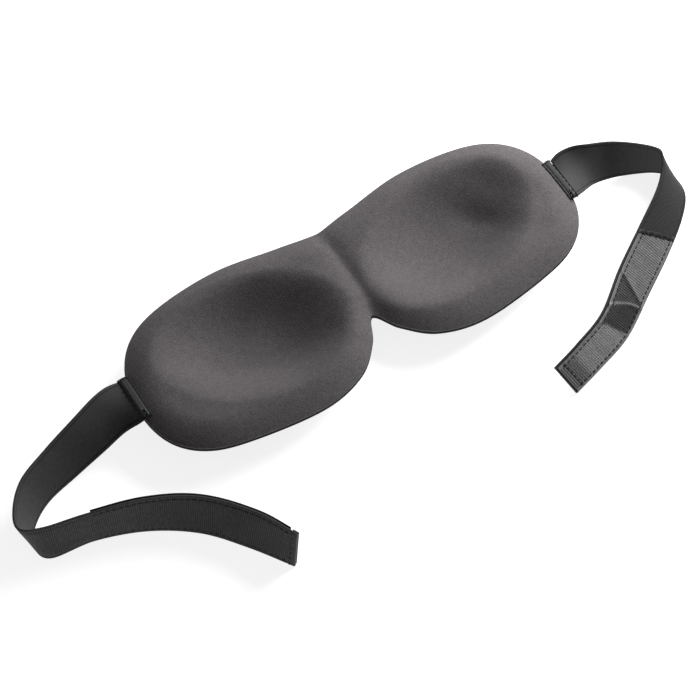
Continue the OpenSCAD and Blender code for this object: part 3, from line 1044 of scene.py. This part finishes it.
@dataclass
class RootTab:
    """The folded end of a strap, sewn on the lining's rim.

    Attributes:
        side: the half of the mask that it lies on.
        seam: where it starts and ends across the mask.
        inner: the edge towards the eye.
        outer: the edge past the mask's tip.
        flat_from: where it leaves the lining's curve and goes on flat.
        thick: how thick it is.
        lift: how far it lies over the lining.
        inner_groove: how far its inner groove lies from its inner edge.
        outer_groove: where its outer groove lies, with the stitches in it.
        groove_depths: how deep the two grooves are.
        pucker: how far the stitches pucker it.
        pucker_pitch: the distance between two puckers.
        skirt_drop: how far its outer edge goes down as a whole.
        edge_drop: how much further the upper surface goes down there.
        steps_across: how many steps it has across the seam.
        steps_along: how many steps it has along the seam.
    """

    side: Side
    seam: tuple
    inner: float
    wardrobe: Wardrobe
    sewing: Sewing
    shape: MaskShape
    outer: float = 121.5
    flat_from: float = 117.0
    thick: float = 1.1
    lift: float = 0.1
    inner_groove: float = 0.8
    outer_groove: float = 120.5
    groove_depths: tuple = (0.3, 0.5)
    pucker: float = 0.072
    pucker_pitch: float = 3.0
    skirt_drop: float = 1.2
    edge_drop: float = 0.4
    steps_across: int = 26
    steps_along: int = 44

    def base(self, x: Array, y: Array) -> Array:
        """Return the lining's height under plan points of the right half, flat past the shoulder's top."""
        skirt = self.skirt_drop * smooth_step(x, self.outer_groove, self.outer)
        return self.shape.face(np.column_stack([np.minimum(x, self.flat_from), y])) - skirt

    def top(self, x: Array, y: Array) -> Array:
        """Return the tab's upper surface over plan points."""
        across = (x - self.inner) / (self.outer - self.inner)
        round_off = np.sqrt(np.clip(1 - (2 * across - 1) ** 6, 0, 1))
        ends = np.minimum(y - self.seam[0], self.seam[1] - y)
        round_ends = np.sqrt(np.clip(1 - (1 - np.clip(ends / 0.8, 0, 1)) ** 2, 0, 1))
        inner, outer = (np.exp(-(((x - g) / 0.5) ** 2)) for g in self.groove_lines())
        pucker = self.pucker * np.cos((y - self.seam[0]) * 2 * math.pi / self.pucker_pitch)
        grooves = self.groove_depths[0] * inner + self.groove_depths[1] * outer
        height = self.thick * (0.25 + 0.75 * round_off * round_ends) - grooves + pucker
        height = height - self.edge_drop * smooth_step(x, self.outer_groove, self.outer)
        return self.base(x, y) + self.lift + height

    def groove_lines(self) -> tuple:
        """Return the two lines that the stitches follow, across the mask."""
        return self.inner + self.inner_groove, self.outer_groove

    def cloth(self) -> bpy.types.Object:
        """Build the folded webbing."""
        x = np.linspace(self.inner, self.outer, self.steps_across + 1)
        y = np.linspace(*self.seam, self.steps_along + 1)
        yy, xx = (a.ravel() for a in np.meshgrid(y, x, indexing="ij"))
        top = np.column_stack([xx, yy, self.top(xx, yy)])
        bottom = np.column_stack([xx, yy, self.base(xx, yy) + self.lift])
        rows, columns, count = len(y), len(x), len(top)
        over = grid_faces(rows, columns, False)
        under = [tuple(i + count for i in f) for f in over]
        rim = ([*range(columns)] + [r * columns + columns - 1 for r in range(1, rows)]
               + [(rows - 1) * columns + c for c in range(columns - 2, -1, -1)]
               + [r * columns for r in range(rows - 2, 0, -1)])
        wall = [(a, b, b + count, a + count) for a, b in zip(rim, rim[1:] + rim[:1])]
        points = np.vstack([top, bottom]) * [self.side.value, 1, 1]
        made = make_object(f"{self.side.word}_tab", points, over + under + wall, [self.wardrobe.tab])
        set_uv(made, points_of(made.data)[:, [1, 0]])
        return made

    def line(self, xs: Sequence, ys: Sequence, lift: float) -> tuple:
        """Return a line on the tab's surface through plan points, with its up vectors."""
        t = np.linspace(0, 1, 24)
        x = np.interp(t, np.linspace(0, 1, len(xs)), xs)
        y = np.interp(t, np.linspace(0, 1, len(ys)), ys)
        points = np.column_stack([x, y, self.top(x, y) + lift]) * [self.side.value, 1, 1]
        return points, np.tile([0.25 * self.side.value, 0, 1.0], (len(t), 1))

    def seams(self) -> bpy.types.Object:
        """Sew the row of stitches, the bar tacks at both ends and their loose threads."""
        low, high = self.seam
        a, b = self.groove_lines()
        row = self.line([b, b], [low + 1.2, high - 1.2], 0.0)
        stitches = self.sewing.row(*zip(row), pitch=2.6, radius=0.15)
        low_tack = self.line([a + 1.2, a + 1.6], [low + 0.3, low + 4.2], 0.15)
        corner = self.line([a, b + 0.6], [high - 0.7, high - 0.4], 0.05)
        foot = self.line([a, b + 0.6], [low + 0.5, low + 0.4], 0.05)
        tacks = self.sewing.bar(*zip(corner, foot), reach=1.0)
        beads = self.sewing.bar(*zip(low_tack), reach=1.1)
        ends = [self.line([b - 0.4, b + 0.5], [high - 0.9, high + 0.2], 0.5),
                self.line([a + 1.0, a + 2.1], [low + 3.4, low + 4.6], 0.35),
                self.line([a + 0.6, a + 1.9], [low + 1.4, low + 1.9], 0.35)]
        flecks = run_nodes(wires("fleck", *zip(*ends)), self.wardrobe.groups.stitches,
                           Pitch=1.3 * MM, Length=1.3 * MM, Height=0.2 * MM, Thread_Radius=0.07 * MM,
                           Turn=0.4, Jitter=0.6, Material=self.wardrobe.fleck)
        return joined(f"{self.side.word}_tab_seams", [stitches, tacks, beads, flecks])

    def build(self) -> list:
        """Build and dress the tab and its seams, and return them."""
        cloth, seams = self.cloth(), self.seams()
        word = self.side.word
        dress(f"{word}_lobe", (cloth, [f"{word}_root_tab"], "webbing"),
              (seams, [f"{word}_root_stitches", f"{word}_root_tacks"], "thread"))
        return [cloth, seams]


# ---------------------------------------------------------------- the straps


@dataclass
class StrapRoute:
    """A strap's route: a point of its lower edge and the way to its upper edge at each station, in mm.

    Attributes:
        stations: the two vectors of each station.
        outer: the sign of the outer face along the route's normal.
        width: the webbing's width.
        flare: how much wider the webbing is at its root, where it is sewn down flat.
        flare_run: how far from the root it is back to its own width.
    """

    stations: tuple
    outer: int
    width: float = 22.0
    flare: float = 0.13
    flare_run: float = 9.0

    def __post_init__(self) -> None:
        """Measure the route along its middle."""
        self.feet = np.array([s[0] for s in self.stations], float)
        self.leans = np.array([s[1] for s in self.stations], float)
        self.fine = np.linspace(0, len(self.stations) - 1, 1201)
        step = np.linalg.norm(np.diff(self.middle(self.fine), axis=0), axis=1)
        self.measured = np.concatenate([[0], np.cumsum(step)])

    @property
    def length(self) -> float:
        """Return the strap's length along its middle."""
        return float(self.measured[-1])

    def run_at(self, station: float) -> float:
        """Return the length from the root to a station."""
        return float(np.interp(station, self.fine, self.measured))

    def station_at(self, run: Array) -> Array:
        """Return the station at each run from the root."""
        return np.interp(run, self.measured, self.fine)

    def across(self, u: Array) -> Array:
        """Return the unit vectors across the webbing, towards its upper edge."""
        return unit(curve(self.leans, u))

    def middle(self, u: Array) -> Array:
        """Return the points of the webbing's middle line."""
        return curve(self.feet, u) + self.across(u) * self.width / 2

    def normal(self, u: Array) -> Array:
        """Return the unit vectors out of the outer face."""
        last = len(self.stations) - 1
        a, b = np.maximum(u - 0.02, 0), np.minimum(u + 0.02, last)
        return self.outer * unit(np.cross(self.middle(b) - self.middle(a), self.across(u)))

    def at(self, run: Array, over: Array, out: Array) -> Array:
        """Return points by the run from the root, the height over the lower edge and the way out, in mm."""
        u = self.station_at(run)
        wider = 1 + self.flare * np.exp(-((np.asarray(run) / self.flare_run) ** 2))
        over = self.width / 2 + (over - self.width / 2) * wider
        over, out = (np.broadcast_to(v, np.shape(run))[..., None] for v in (over, out))
        return curve(self.feet, u) + self.across(u) * over + self.normal(u) * out

    def up(self, run: Array, sign: int = 1) -> Array:
        """Return the outer face's normals at runs from the root, or the inner face's with sign -1."""
        return sign * self.normal(self.station_at(run))


def slanted(runs: Array, over: Array, slant: float) -> Array:
    """Return the run of each point of a tape whose first edge is cut slantwise, row by row."""
    left = (runs[-1] - runs) / (runs[-1] - runs[0])
    return (runs[:, None] + left[:, None] * slant * (over - over.min())[None]).ravel()


def tape(name: str, route: StrapRoute, runs: Array, profile: Array, uv_start: float = 0.0,
         sag: Callable[[Array, Array], Array] | None = None, slant: float = 0.0) -> bpy.types.Object:
    """Sweep a closed profile along a strap's route.

    Args:
        name: the object's name.
        route: the route.
        runs: where the sections stand, in mm from the root.
        profile: rows of the height over the lower edge, and the way out.
        uv_start: the run at which the UV map starts.
        sag: an extra way out for each run and height, or None.
        slant: how far its first edge leans along the strap for each mm of height.

    Returns:
        The closed tape, with attributes run, over and outward, and a UV map in metres.
    """
    rows, columns = len(runs), len(profile)
    run = slanted(runs, profile[:, 0], slant)
    over = np.tile(profile[:, 0], rows)
    out = np.tile(profile[:, 1], rows)
    extra = sag(run, over) if sag else 0.0
    points = route.at(run, over, out + extra)
    faces = grid_faces(rows, columns, True)
    faces += [tuple(range(columns)), tuple((rows - 1) * columns + c for c in range(columns))]
    made = make_object(name, points, faces, tidy=False)
    turn_outwards(made.data)
    set_attribute(made, "run", (run - uv_start) * MM)
    set_attribute(made, "over", over * MM)
    inset = np.minimum(over, route.width - over)
    weight = np.where(out > 0, smooth_step(inset, 1.9, 2.3), 0)
    set_attribute(made, "outward", route.up(run) * weight[:, None])
    set_uv(made, np.column_stack([run - uv_start, over]) * MM)
    return made


BEAD_POINTS = (0.8, 1.3, 1.7, 2.1)  # how far in a tape's section has points over its edge bead, in mm


def tape_profile(width: float, inner: float, outer: float, low: float = 0.0, edge: float = 0.35,
                 bead: float = 0.0, groove: float = 0.0, samples: int = 12) -> Array:
    """Return a tape's closed section.

    Args:
        width: its width.
        inner: the way out of its inner face.
        outer: the way out of its outer face.
        low: the height of its lower edge.
        edge: how far its rounded edges reach in.
        bead: how much thicker its edge beads are on each face.
        groove: the depth of the line inside each bead.
        samples: how many points its plain middle has.

    Returns:
        Rows of height and way out.
    """
    side = [edge, *BEAD_POINTS]
    plain = np.linspace(2.6, width - 2.6, samples)
    over = np.concatenate([side, plain, width - np.array(side[::-1])])
    inset = np.minimum(over, width - over)
    shape = bead * (inset < 1.4) - groove * np.exp(-(((inset - 1.7) / 0.3) ** 2))
    face = np.column_stack([over + low, outer + shape])
    back = np.column_stack([over[::-1] + low, inner - shape[::-1]])
    middle, half = (inner + outer) / 2, (outer - inner) / 2
    angles = np.radians([45, 0, -45])
    top = [(low + width - edge + edge * math.cos(a), middle + half * math.sin(a)) for a in angles]
    bottom = [(low + edge - edge * math.cos(a), middle - half * math.sin(a)) for a in angles]
    return np.vstack([face, top, back, bottom])


@dataclass
class Strap:
    """One strap in two pieces, from its tab to the turn and from there to its free end.

    Attributes:
        side: the half of the mask that it is sewn to.
        route: its route.
        bend_station: the route's station at the turn.
        split_station: the station where its two pieces meet.
        face_finish: the finish of its outer face.
        thick: how thick it is.
        rib_pitch: the distance between its ribs.
        rib_height: how far they rise.
        row_step: the distance between its rows of points.
        turn_half: how far the turn's bend reaches to each side.
        root_start: where the bend at its root starts.
        root_reach: where the bend at its root ends.
    """

    side: Side
    route: StrapRoute
    bend_station: float
    split_station: float
    face_finish: bpy.types.Material
    wardrobe: Wardrobe
    thick: float = 1.2
    rib_pitch: float = 1.0
    rib_height: float = 0.22
    row_step: float = 0.25
    turn_half: float = 8.0
    root_start: float = 0.5
    root_reach: float = 14.0

    def web(self, part: str, start: float, end: float) -> bpy.types.Object:
        """Weave the webbing from one run to another, ribbed or plain on its outer face."""
        runs = np.linspace(start, end, max(2, round((end - start) / self.row_step)) + 1)
        half = self.thick / 2
        profile = tape_profile(self.route.width, -half, half, bead=0.05, groove=0.08)
        made = tape(f"{self.side.word}_strap_{part}", self.route, runs, profile)
        made.data.materials.append(self.wardrobe.satin)
        count = len(profile)
        outside = profile[:, 1] > 0
        last = (len(runs) - 1) * count
        ribbed = [i < last and bool(outside[i % count] and outside[(i + 1) % count])
                  for i in range(len(made.data.polygons))]
        layer = made.data.attributes.new("ribbed", "BOOLEAN", "FACE")
        layer.data.foreach_set("value", ribbed)
        return run_nodes(made, self.wardrobe.groups.ribs, Pitch=self.rib_pitch * MM,
                         Height=self.rib_height * MM, Face_Material=self.face_finish)

    def build(self) -> list:
        """Build and dress the two pieces, and return them."""
        route, word = self.route, self.side.word
        split = route.run_at(self.split_station)
        root = self.web("root", 0.0, split)
        turn = self.web("turn", split, route.length)
        bend = route.run_at(self.bend_station)
        runs = [self.root_start, self.root_reach, bend - self.turn_half, bend + self.turn_half]
        marks = [place(p) for p in route.at(np.array(runs), route.width / 2, 0.0)]
        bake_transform(root, f"{word}_lobe", f"{word}_strap_far", start=marks[0], end=marks[1])
        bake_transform(turn, f"{word}_strap_far", f"{word}_strap_near", start=marks[2], end=marks[3])
        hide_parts(f"{word}_strap_far_run")
        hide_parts(f"{word}_strap_near_run")
        return [root, turn]


@dataclass
class LoopFastener:
    """The loop pile tape on the left strap's inner face, and the strap's folded end.

    Attributes:
        start_station: the route's station where the tape starts.
        end_station: the station where it ends.
        hem_station: the station where the fold starts.
        face: how far the tape and the fold lie from the strap's middle.
        thick: how thick both are.
        low: the height of their lower edges.
        stitch_out: how far out the tape's stitches lie on the outer face.
    """

    route: StrapRoute
    wardrobe: Wardrobe
    sewing: Sewing
    start_station: float = 8.05
    end_station: float = 11.8
    hem_station: float = 11.86
    face: float = 0.78
    thick: float = 0.8
    low: float = 0.6
    stitch_out: float = 0.68

    def build(self) -> list:
        """Build and dress the tape, its pile, the hem and the seams, and return them."""
        route, box = self.route, self.wardrobe
        start, end = route.run_at(self.start_station), route.run_at(self.end_station)
        runs = np.linspace(start, end, 120)
        backing = self.band("left_loop_tape", runs, route.width - 0.4, box.pile)
        pile = self.pile(start, end)
        hem = self.hem()
        seams = self.seams(start, end)
        hem_seam = self.hem_seam()
        dress("left_strap_near", (backing, ["loop_strip"], "loop_pile"), (pile, [], "loop_pile"),
              (hem, ["left_end_hem"], "webbing"), (seams, ["loop_stitches"], "thread"),
              (hem_seam, ["left_hem_stitches"], "thread"))
        return [backing, pile, hem, seams, hem_seam]

    def band(self, name: str, runs: Array, width: float, material: bpy.types.Material) -> bpy.types.Object:
        """Lay a plain band on the strap's inner face."""
        profile = tape_profile(width, -self.face - self.thick, -self.face, low=self.low, edge=0.3)
        made = tape(name, self.route, runs, profile)
        made.data.materials.append(material)
        return finish_modifiers(made)

    def pile(self, start: float, end: float) -> bpy.types.Object:
        """Scatter the loops over the tape's inner face."""
        runs = np.linspace(start + 0.5, end - 0.5, 90)
        over = np.linspace(2.2, self.route.width - 0.6, 8)
        r, o = (a.ravel() for a in np.meshgrid(runs, over, indexing="ij"))
        points = self.route.at(r, o, -self.face - self.thick)
        faces = grid_faces(len(runs), len(over), False)
        made = make_object("left_loop_pile", points, faces, tidy=False)
        if made.data.polygons[0].normal.dot(Vector(self.route.up(runs[:1], -1)[0])) < 0:
            made.data.flip_normals()
        return run_nodes(made, self.wardrobe.groups.pile, Density=1.35e6, Loop_Radius=0.42 * MM,
                         Thread_Radius=0.06 * MM, Seed=3, Material=self.wardrobe.pile)

    def hem(self) -> bpy.types.Object:
        """Fold the strap's end over to its inner face."""
        route = self.route
        runs = np.linspace(route.run_at(self.hem_station), route.length, 14)
        return self.band("left_hem", runs, route.width - 0.8, self.wardrobe.ribbed)

    def seams(self, start: float, end: float) -> bpy.types.Object:
        """Sew the tape on: two rows along it and one across its start."""
        route, out = self.route, self.stitch_out
        runs, across = np.linspace(start + 1.5, end - 1, 60), np.full(12, start + 2)
        lines = [route.at(runs, w, out) for w in (2.0, route.width - 2.0)]
        lines.append(route.at(across, np.linspace(2.5, route.width - 2.5, 12), out))
        ups = [route.up(runs), route.up(runs), route.up(across)]
        made = self.sewing.row(lines, ups, radius=0.14, material=self.wardrobe.strand)
        made.name = "left_loop_seams"
        return made

    def hem_seam(self) -> bpy.types.Object:
        """Sew the hem across the strap's end."""
        runs, over = np.full(12, self.route.length - 2.6), np.linspace(1.2, self.route.width - 1.2, 12)
        made = self.sewing.row([self.route.at(runs, over, self.face)], [self.route.up(runs)], radius=0.16)
        made.name = "left_hem_seam"
        return made


@dataclass
class HookFastener:
    """The moulded hook film on the right strap's outer face, with its seams and bar tack.

    Attributes:
        start_station: the route's station where the film starts.
        end_station: the station where it ends.
        margin: the webbing that shows past each of its long edges.
        face: how far out it lies.
        thick: how thick it is.
        hook_pitch: the distance between its rows of hooks.
        end_row: how far from its end the last row of stitches lies.
        slant: how far its first edge leans along the strap for each mm of height.
        fold_runs: where its first fold, its crease and the end of its painted dark band meet its lower edge.
        fold_leans: how far the first fold leans, the crease bows and the band's end leans.
        kinks: the height and the half width of the kink that each of the three makes.
        panel_reflection: how bright the painted reflection on its first panel is.
        crease_highlight: how bright the painted highlight along its crease is.
        band_reflection: how bright the painted reflection on its band before the crease is.
        flange_reflection: how bright the painted reflection on its plain flange is.
    """

    route: StrapRoute
    wardrobe: Wardrobe
    sewing: Sewing
    start_station: float = 7.6
    end_station: float = 11.95
    margin: float = 0.9
    face: float = 0.78
    thick: float = 0.45
    hook_pitch: float = 1.1
    end_row: float = 3.8
    slant: float = 0.47
    fold_runs: tuple = (141.0, 142.0, 157.5)
    fold_leans: tuple = (-0.48, 0.0235, 0.275)
    kinks: tuple = ((0.25, 1.2), (0.55, 1.1), (0.2, 1.0))
    # How bright the painted reflection is on each zone of the film, and the painted highlight along its
    # crease.
    panel_reflection: float = 0.68
    crease_highlight: float = 0.75
    band_reflection: float = 0.17
    flange_reflection: float = 0.33

    def __post_init__(self) -> None:
        """Measure where the film starts and ends."""
        self.start, self.end = (self.route.run_at(s) for s in (self.start_station, self.end_station))

    def build(self) -> list:
        """Build and dress the film, its hooks and its seams, and return them."""
        film, hooks, seams, tack = self.film(), self.hooks(), self.seams(), self.tack()
        dress("right_strap_near", (film, ["hook_strip"], "hook_film"), (hooks, [], "hook_film"),
              (seams, ["hook_stitches"], "thread"), (tack, ["hook_bar_tack"], "thread"))
        return [film, hooks, seams, tack]

    def fold_lines(self, run: Array, over: Array) -> tuple:
        """Return the way past the first fold, the crease and the end of the painted dark band."""
        (first, crease, last), (lean, bow, last_lean) = self.fold_runs, self.fold_leans
        return run - first - lean * over, run - crease - bow * over**2, run - last - last_lean * over

    def crease(self, run: Array, over: Array) -> Array:
        """Return the film's extra way out: soft kinks where it has been pressed flat."""
        return sum(height * np.exp(-((way / half) ** 2))
                   for way, (height, half) in zip(self.fold_lines(run, over), self.kinks))

    def painted_reflection(self, run: Array, over: Array) -> Array:
        """Return the film's painted reflection: bright panels, a painted dark band between them, a painted
        highlight along the crease, a dimmer end and a grey flange.
        """
        first, crease, last = self.fold_lines(run, over)
        # Painted reflection on the two panels, dimmer near the film's end, and a painted highlight on the
        # crease.
        upper = 1 - smooth_step(first, -0.8, 0.6)
        lower = smooth_step(last, -0.8, 0.8) * (1 - 0.65 * smooth_step(self.end - run, 16, 4))
        ridge = self.crease_highlight * np.exp(-((crease / 0.7) ** 2))
        fold = self.band_reflection * (1 - smooth_step(crease, -2.0, 0.0))
        inset = np.minimum(np.minimum(over, self.route.width - over) - self.margin, self.end - run)
        edge = 1 - smooth_step(inset, 1.2, 1.8)
        field_reflection = np.maximum.reduce([self.panel_reflection * upper, lower, ridge, fold])
        return np.clip(field_reflection + edge * (self.flange_reflection - field_reflection), 0, 1)

    def film(self) -> bpy.types.Object:
        """Mould the film: a thin flange round a raised field."""
        width = self.route.width - 2 * self.margin
        runs = np.linspace(self.start, self.end, 240)
        profile = tape_profile(width, self.face, self.face + self.thick, low=self.margin, edge=0.25,
                               samples=22)
        made = tape("right_hook_film", self.route, runs, profile, uv_start=self.start, sag=self.crease,
                    slant=self.slant)
        over = np.tile(profile[:, 0], len(runs))
        run = slanted(runs, profile[:, 0], self.slant)
        inset = np.minimum(over, self.route.width - over)
        set_attribute(made, "painted_reflection", self.painted_reflection(run, over))
        set_attribute(made, "hooked", smooth_step(inset, 2.8, 3.2))
        made.data.materials.append(self.wardrobe.film)
        return finish_modifiers(made)

    def hooks(self) -> bpy.types.Object:
        """Set the rows of little hooks across the film's field."""
        rows = np.arange(self.start + 5.0, self.end - 5.0, self.hook_pitch)
        out = self.face + self.thick
        lines, ups = [], []
        for r in rows:
            low, high = 4.5, self.route.width - 4.5
            high = min(high, self.margin + (r - self.start - 2.5) / self.slant)
            over, run = np.linspace(low, high, 10), np.full(10, r)
            lines.append(self.route.at(run, over, out + self.crease(run, over)))
            ups.append(self.route.up(run))
        made = run_nodes(wires("right_hooks", lines, ups), self.wardrobe.groups.hooks,
                         Pitch=0.9 * MM, Length=0.35 * MM, Height=0.26 * MM, Thread_Radius=0.13 * MM,
                         Turn=math.pi / 2, Jitter=0.12, Material=self.wardrobe.film)
        points = points_of(made.data)
        middles = np.array([place(line.mean(0)) for line in lines])
        run = rows[np.argmin(((points[:, None] - middles[None]) ** 2).sum(2), axis=1)]
        station = self.route.station_at(run)
        foot = place(curve(self.route.feet, station))
        over = np.einsum("ij,ij->i", points - foot, self.route.across(station)) / MM
        # The hooks carry the film's painted reflection too.
        set_attribute(made, "painted_reflection", self.painted_reflection(run, over))
        set_attribute(made, "hooked", np.zeros(len(points)))
        set_uv(made, np.column_stack([run, over]) * MM)
        return made

    def seams(self) -> bpy.types.Object:
        """Sew the film on: two rows along it and one across its end."""
        out = self.face + self.thick
        inset = self.margin + 2.0
        lines, ups = [], []
        for w in (inset, self.route.width - inset):
            runs = np.linspace(self.start + self.slant * (w - self.margin) + 1.5, self.end - self.end_row, 80)
            lines.append(self.route.at(runs, w, out + self.crease(runs, np.full(80, w))))
            ups.append(self.route.up(runs))
        over = np.linspace(inset, self.route.width - inset, 14)
        last = np.full(14, self.end - self.end_row)
        lines.append(self.route.at(last, over, out))
        ups.append(self.route.up(last))
        made = self.sewing.row(lines, ups, radius=0.36)
        made.name = "right_hook_seams"
        return made

    def tack(self) -> bpy.types.Object:
        """Sew the ragged bar tack across the film's start."""
        over = np.linspace(1.2, self.route.width - 1.2, 20)
        runs = self.start + self.slant * (over - self.margin) + 1.2 + 0.4 * np.sin(over * 1.7)
        made = self.sewing.bar([self.route.at(runs, over, self.face + self.thick)], [self.route.up(runs)],
                               reach=3.2)
        made.name = "right_bar_tack"
        return made


# For each strap, the foot of its lower edge and the way from there to its upper edge at each station, in mm.
LEFT_STATIONS = (
    ((-120.9, -6, 19), (0, 22, -2)), ((-130, -5, 13), (-4, 20, 7)), ((-141, -6, 8), (-7, 16, 12)),
    ((-158, -8, 3), (-9, 12, 16)), ((-176, -12, 1), (-8, 8, 20)), ((-188, -20, 0.4), (-6, 3, 21)),
    ((-192, -29, 0.3), (-4, 3, 22)), ((-188, -37, 0.3), (1, 6, 21)), ((-167, -40, 0.3), (1, 4, 22)),
    ((-144, -49, 0.4), (3, 6, 21)), ((-124, -63, 0.4), (5, 8, 19)), ((-109, -81, 0.4), (8, 6, 19)),
    ((-96, -100, 0.4), (5, 5, 21)))
RIGHT_STATIONS = (
    ((120.9, -12, 18.5), (1, 22, -1)), ((130, -9, 12), (0, 20, 8)), ((141, -6, 5), (-1, 14, 17)),
    ((155, -7, 0.6), (-1, 9, 20)), ((170, -14, 0.4), (-2, 2, 22)), ((176, -22, 0.4), (-7, 4, 20)),
    ((175, -33, 0.5), (-11, 9, 17)), ((165, -44, 0.6), (-9, 13, 15)), ((147, -57, 0.6), (-10, 14, 13)),
    ((126, -70, 0.6), (-10, 13, 13)), ((103, -84, 0.6), (-10, 11, 16)), ((82, -91, 0.6), (-9, 10, 17)),
    ((64, -96, 0.6), (-8, 10, 18)))


# ---------------------------------------------------------------- the studio


@dataclass(frozen=True)
class Studio:
    """The floor, the light and the camera.

    Attributes:
        azimuth: where the camera stands round the mask, in degrees.
        elevation: how high it stands, in degrees.
        distance: how far it stands from its aim, in metres.
        lens: its focal length in mm.
        aim: the point that it faces, in mm from the mask's middle.
        floor_half: half the floor's side, in mm.
    """

    azimuth: float = -32.25
    elevation: float = 61.5
    distance: float = 0.9749
    lens: float = 105.9
    aim: tuple = (-19.7, -26.0, 17.0)
    floor_half: float = 8000.0

    def floor(self) -> None:
        """Lay the plain pale floor."""
        corners = np.array([[-1, -1, 0], [1, -1, 0], [1, 1, 0], [-1, 1, 0]]) * self.floor_half
        material = bpy.data.materials.new("floor")
        material.use_nodes = True
        shader = material.node_tree.nodes["Principled BSDF"]
        shader.inputs["Base Color"].default_value = (0.86, 0.86, 0.86, 1)
        shader.inputs["Roughness"].default_value = 0.9
        shader.inputs["Specular IOR Level"].default_value = 0.1
        shader.inputs["Emission Color"].default_value = (1, 1, 1, 1)
        shader.inputs["Emission Strength"].default_value = 0.8
        make_object("floor", corners, [(0, 1, 2, 3)], [material])

    def lamp(self, name: str, way: tuple, reach: float, size: float, power: float) -> None:
        """Hang a square soft lamp that faces the mask from a direction."""
        light = bpy.data.lights.new(name, "AREA")
        light.size = size
        light.energy = power
        lamp = link_object(name, light)
        direction = Vector(way).normalized()
        lamp.location = Vector(MIDDLE) + direction * reach
        lamp.rotation_euler = direction.to_track_quat("Z", "Y").to_euler()

    def camera(self) -> None:
        """Stand the camera and aim it."""
        data = bpy.data.cameras.new("camera")
        data.lens = self.lens
        data.sensor_width = 36.0
        data.clip_start = 0.01
        camera = link_object("camera", data)
        a, e = math.radians(self.azimuth), math.radians(self.elevation)
        back = Vector((math.sin(a) * math.cos(e), -math.cos(a) * math.cos(e), math.sin(e)))
        camera.location = Vector(place(self.aim)) + back * self.distance
        camera.rotation_euler = back.to_track_quat("Z", "Y").to_euler()
        bpy.context.scene.camera = camera

    def build(self) -> None:
        """Set up the whole studio."""
        self.floor()
        self.lamp("key", (1.0, 0.28, 0.66), 0.62, 0.4, 5.6)
        self.camera()
        scene = bpy.context.scene
        scene.view_settings.view_transform = "Standard"
        world = bpy.data.worlds.new("studio")
        world.use_nodes = True
        background = world.node_tree.nodes["Background"]
        background.inputs["Color"].default_value = (1, 1, 1, 1)
        background.inputs["Strength"].default_value = 0.12
        scene.world = world


def report(pieces: Sequence) -> None:
    """Work out each piece's triangles."""
    for piece in pieces:
        piece.data.calc_loop_triangles()


def main() -> None:
    """Build the studio and every piece of the mask."""
    logging.basicConfig(level=logging.INFO, format="%(message)s")
    Studio().build()
    wardrobe = Wardrobe(Groups())
    sewing = Sewing(wardrobe)
    mask = MaskBody(wardrobe)
    report(mask.build())
    for side, seam, inner in ((Side.RIGHT, (-13.5, 11.5), 116.6), (Side.LEFT, (-7.0, 18.0), 116.0)):
        report(RootTab(side, seam, inner, wardrobe, sewing, mask.shape).build())
    left, right = StrapRoute(LEFT_STATIONS, 1), StrapRoute(RIGHT_STATIONS, -1)
    report(Strap(Side.LEFT, left, 6, 3.5, wardrobe.ribbed, wardrobe).build())
    report(Strap(Side.RIGHT, right, 5, 2.6, wardrobe.twill, wardrobe, rib_height=0.0, row_step=1.0).build())
    report(LoopFastener(left, wardrobe, sewing).build())
    report(HookFastener(right, wardrobe, sewing).build())


if __name__ == "__main__":
    main()
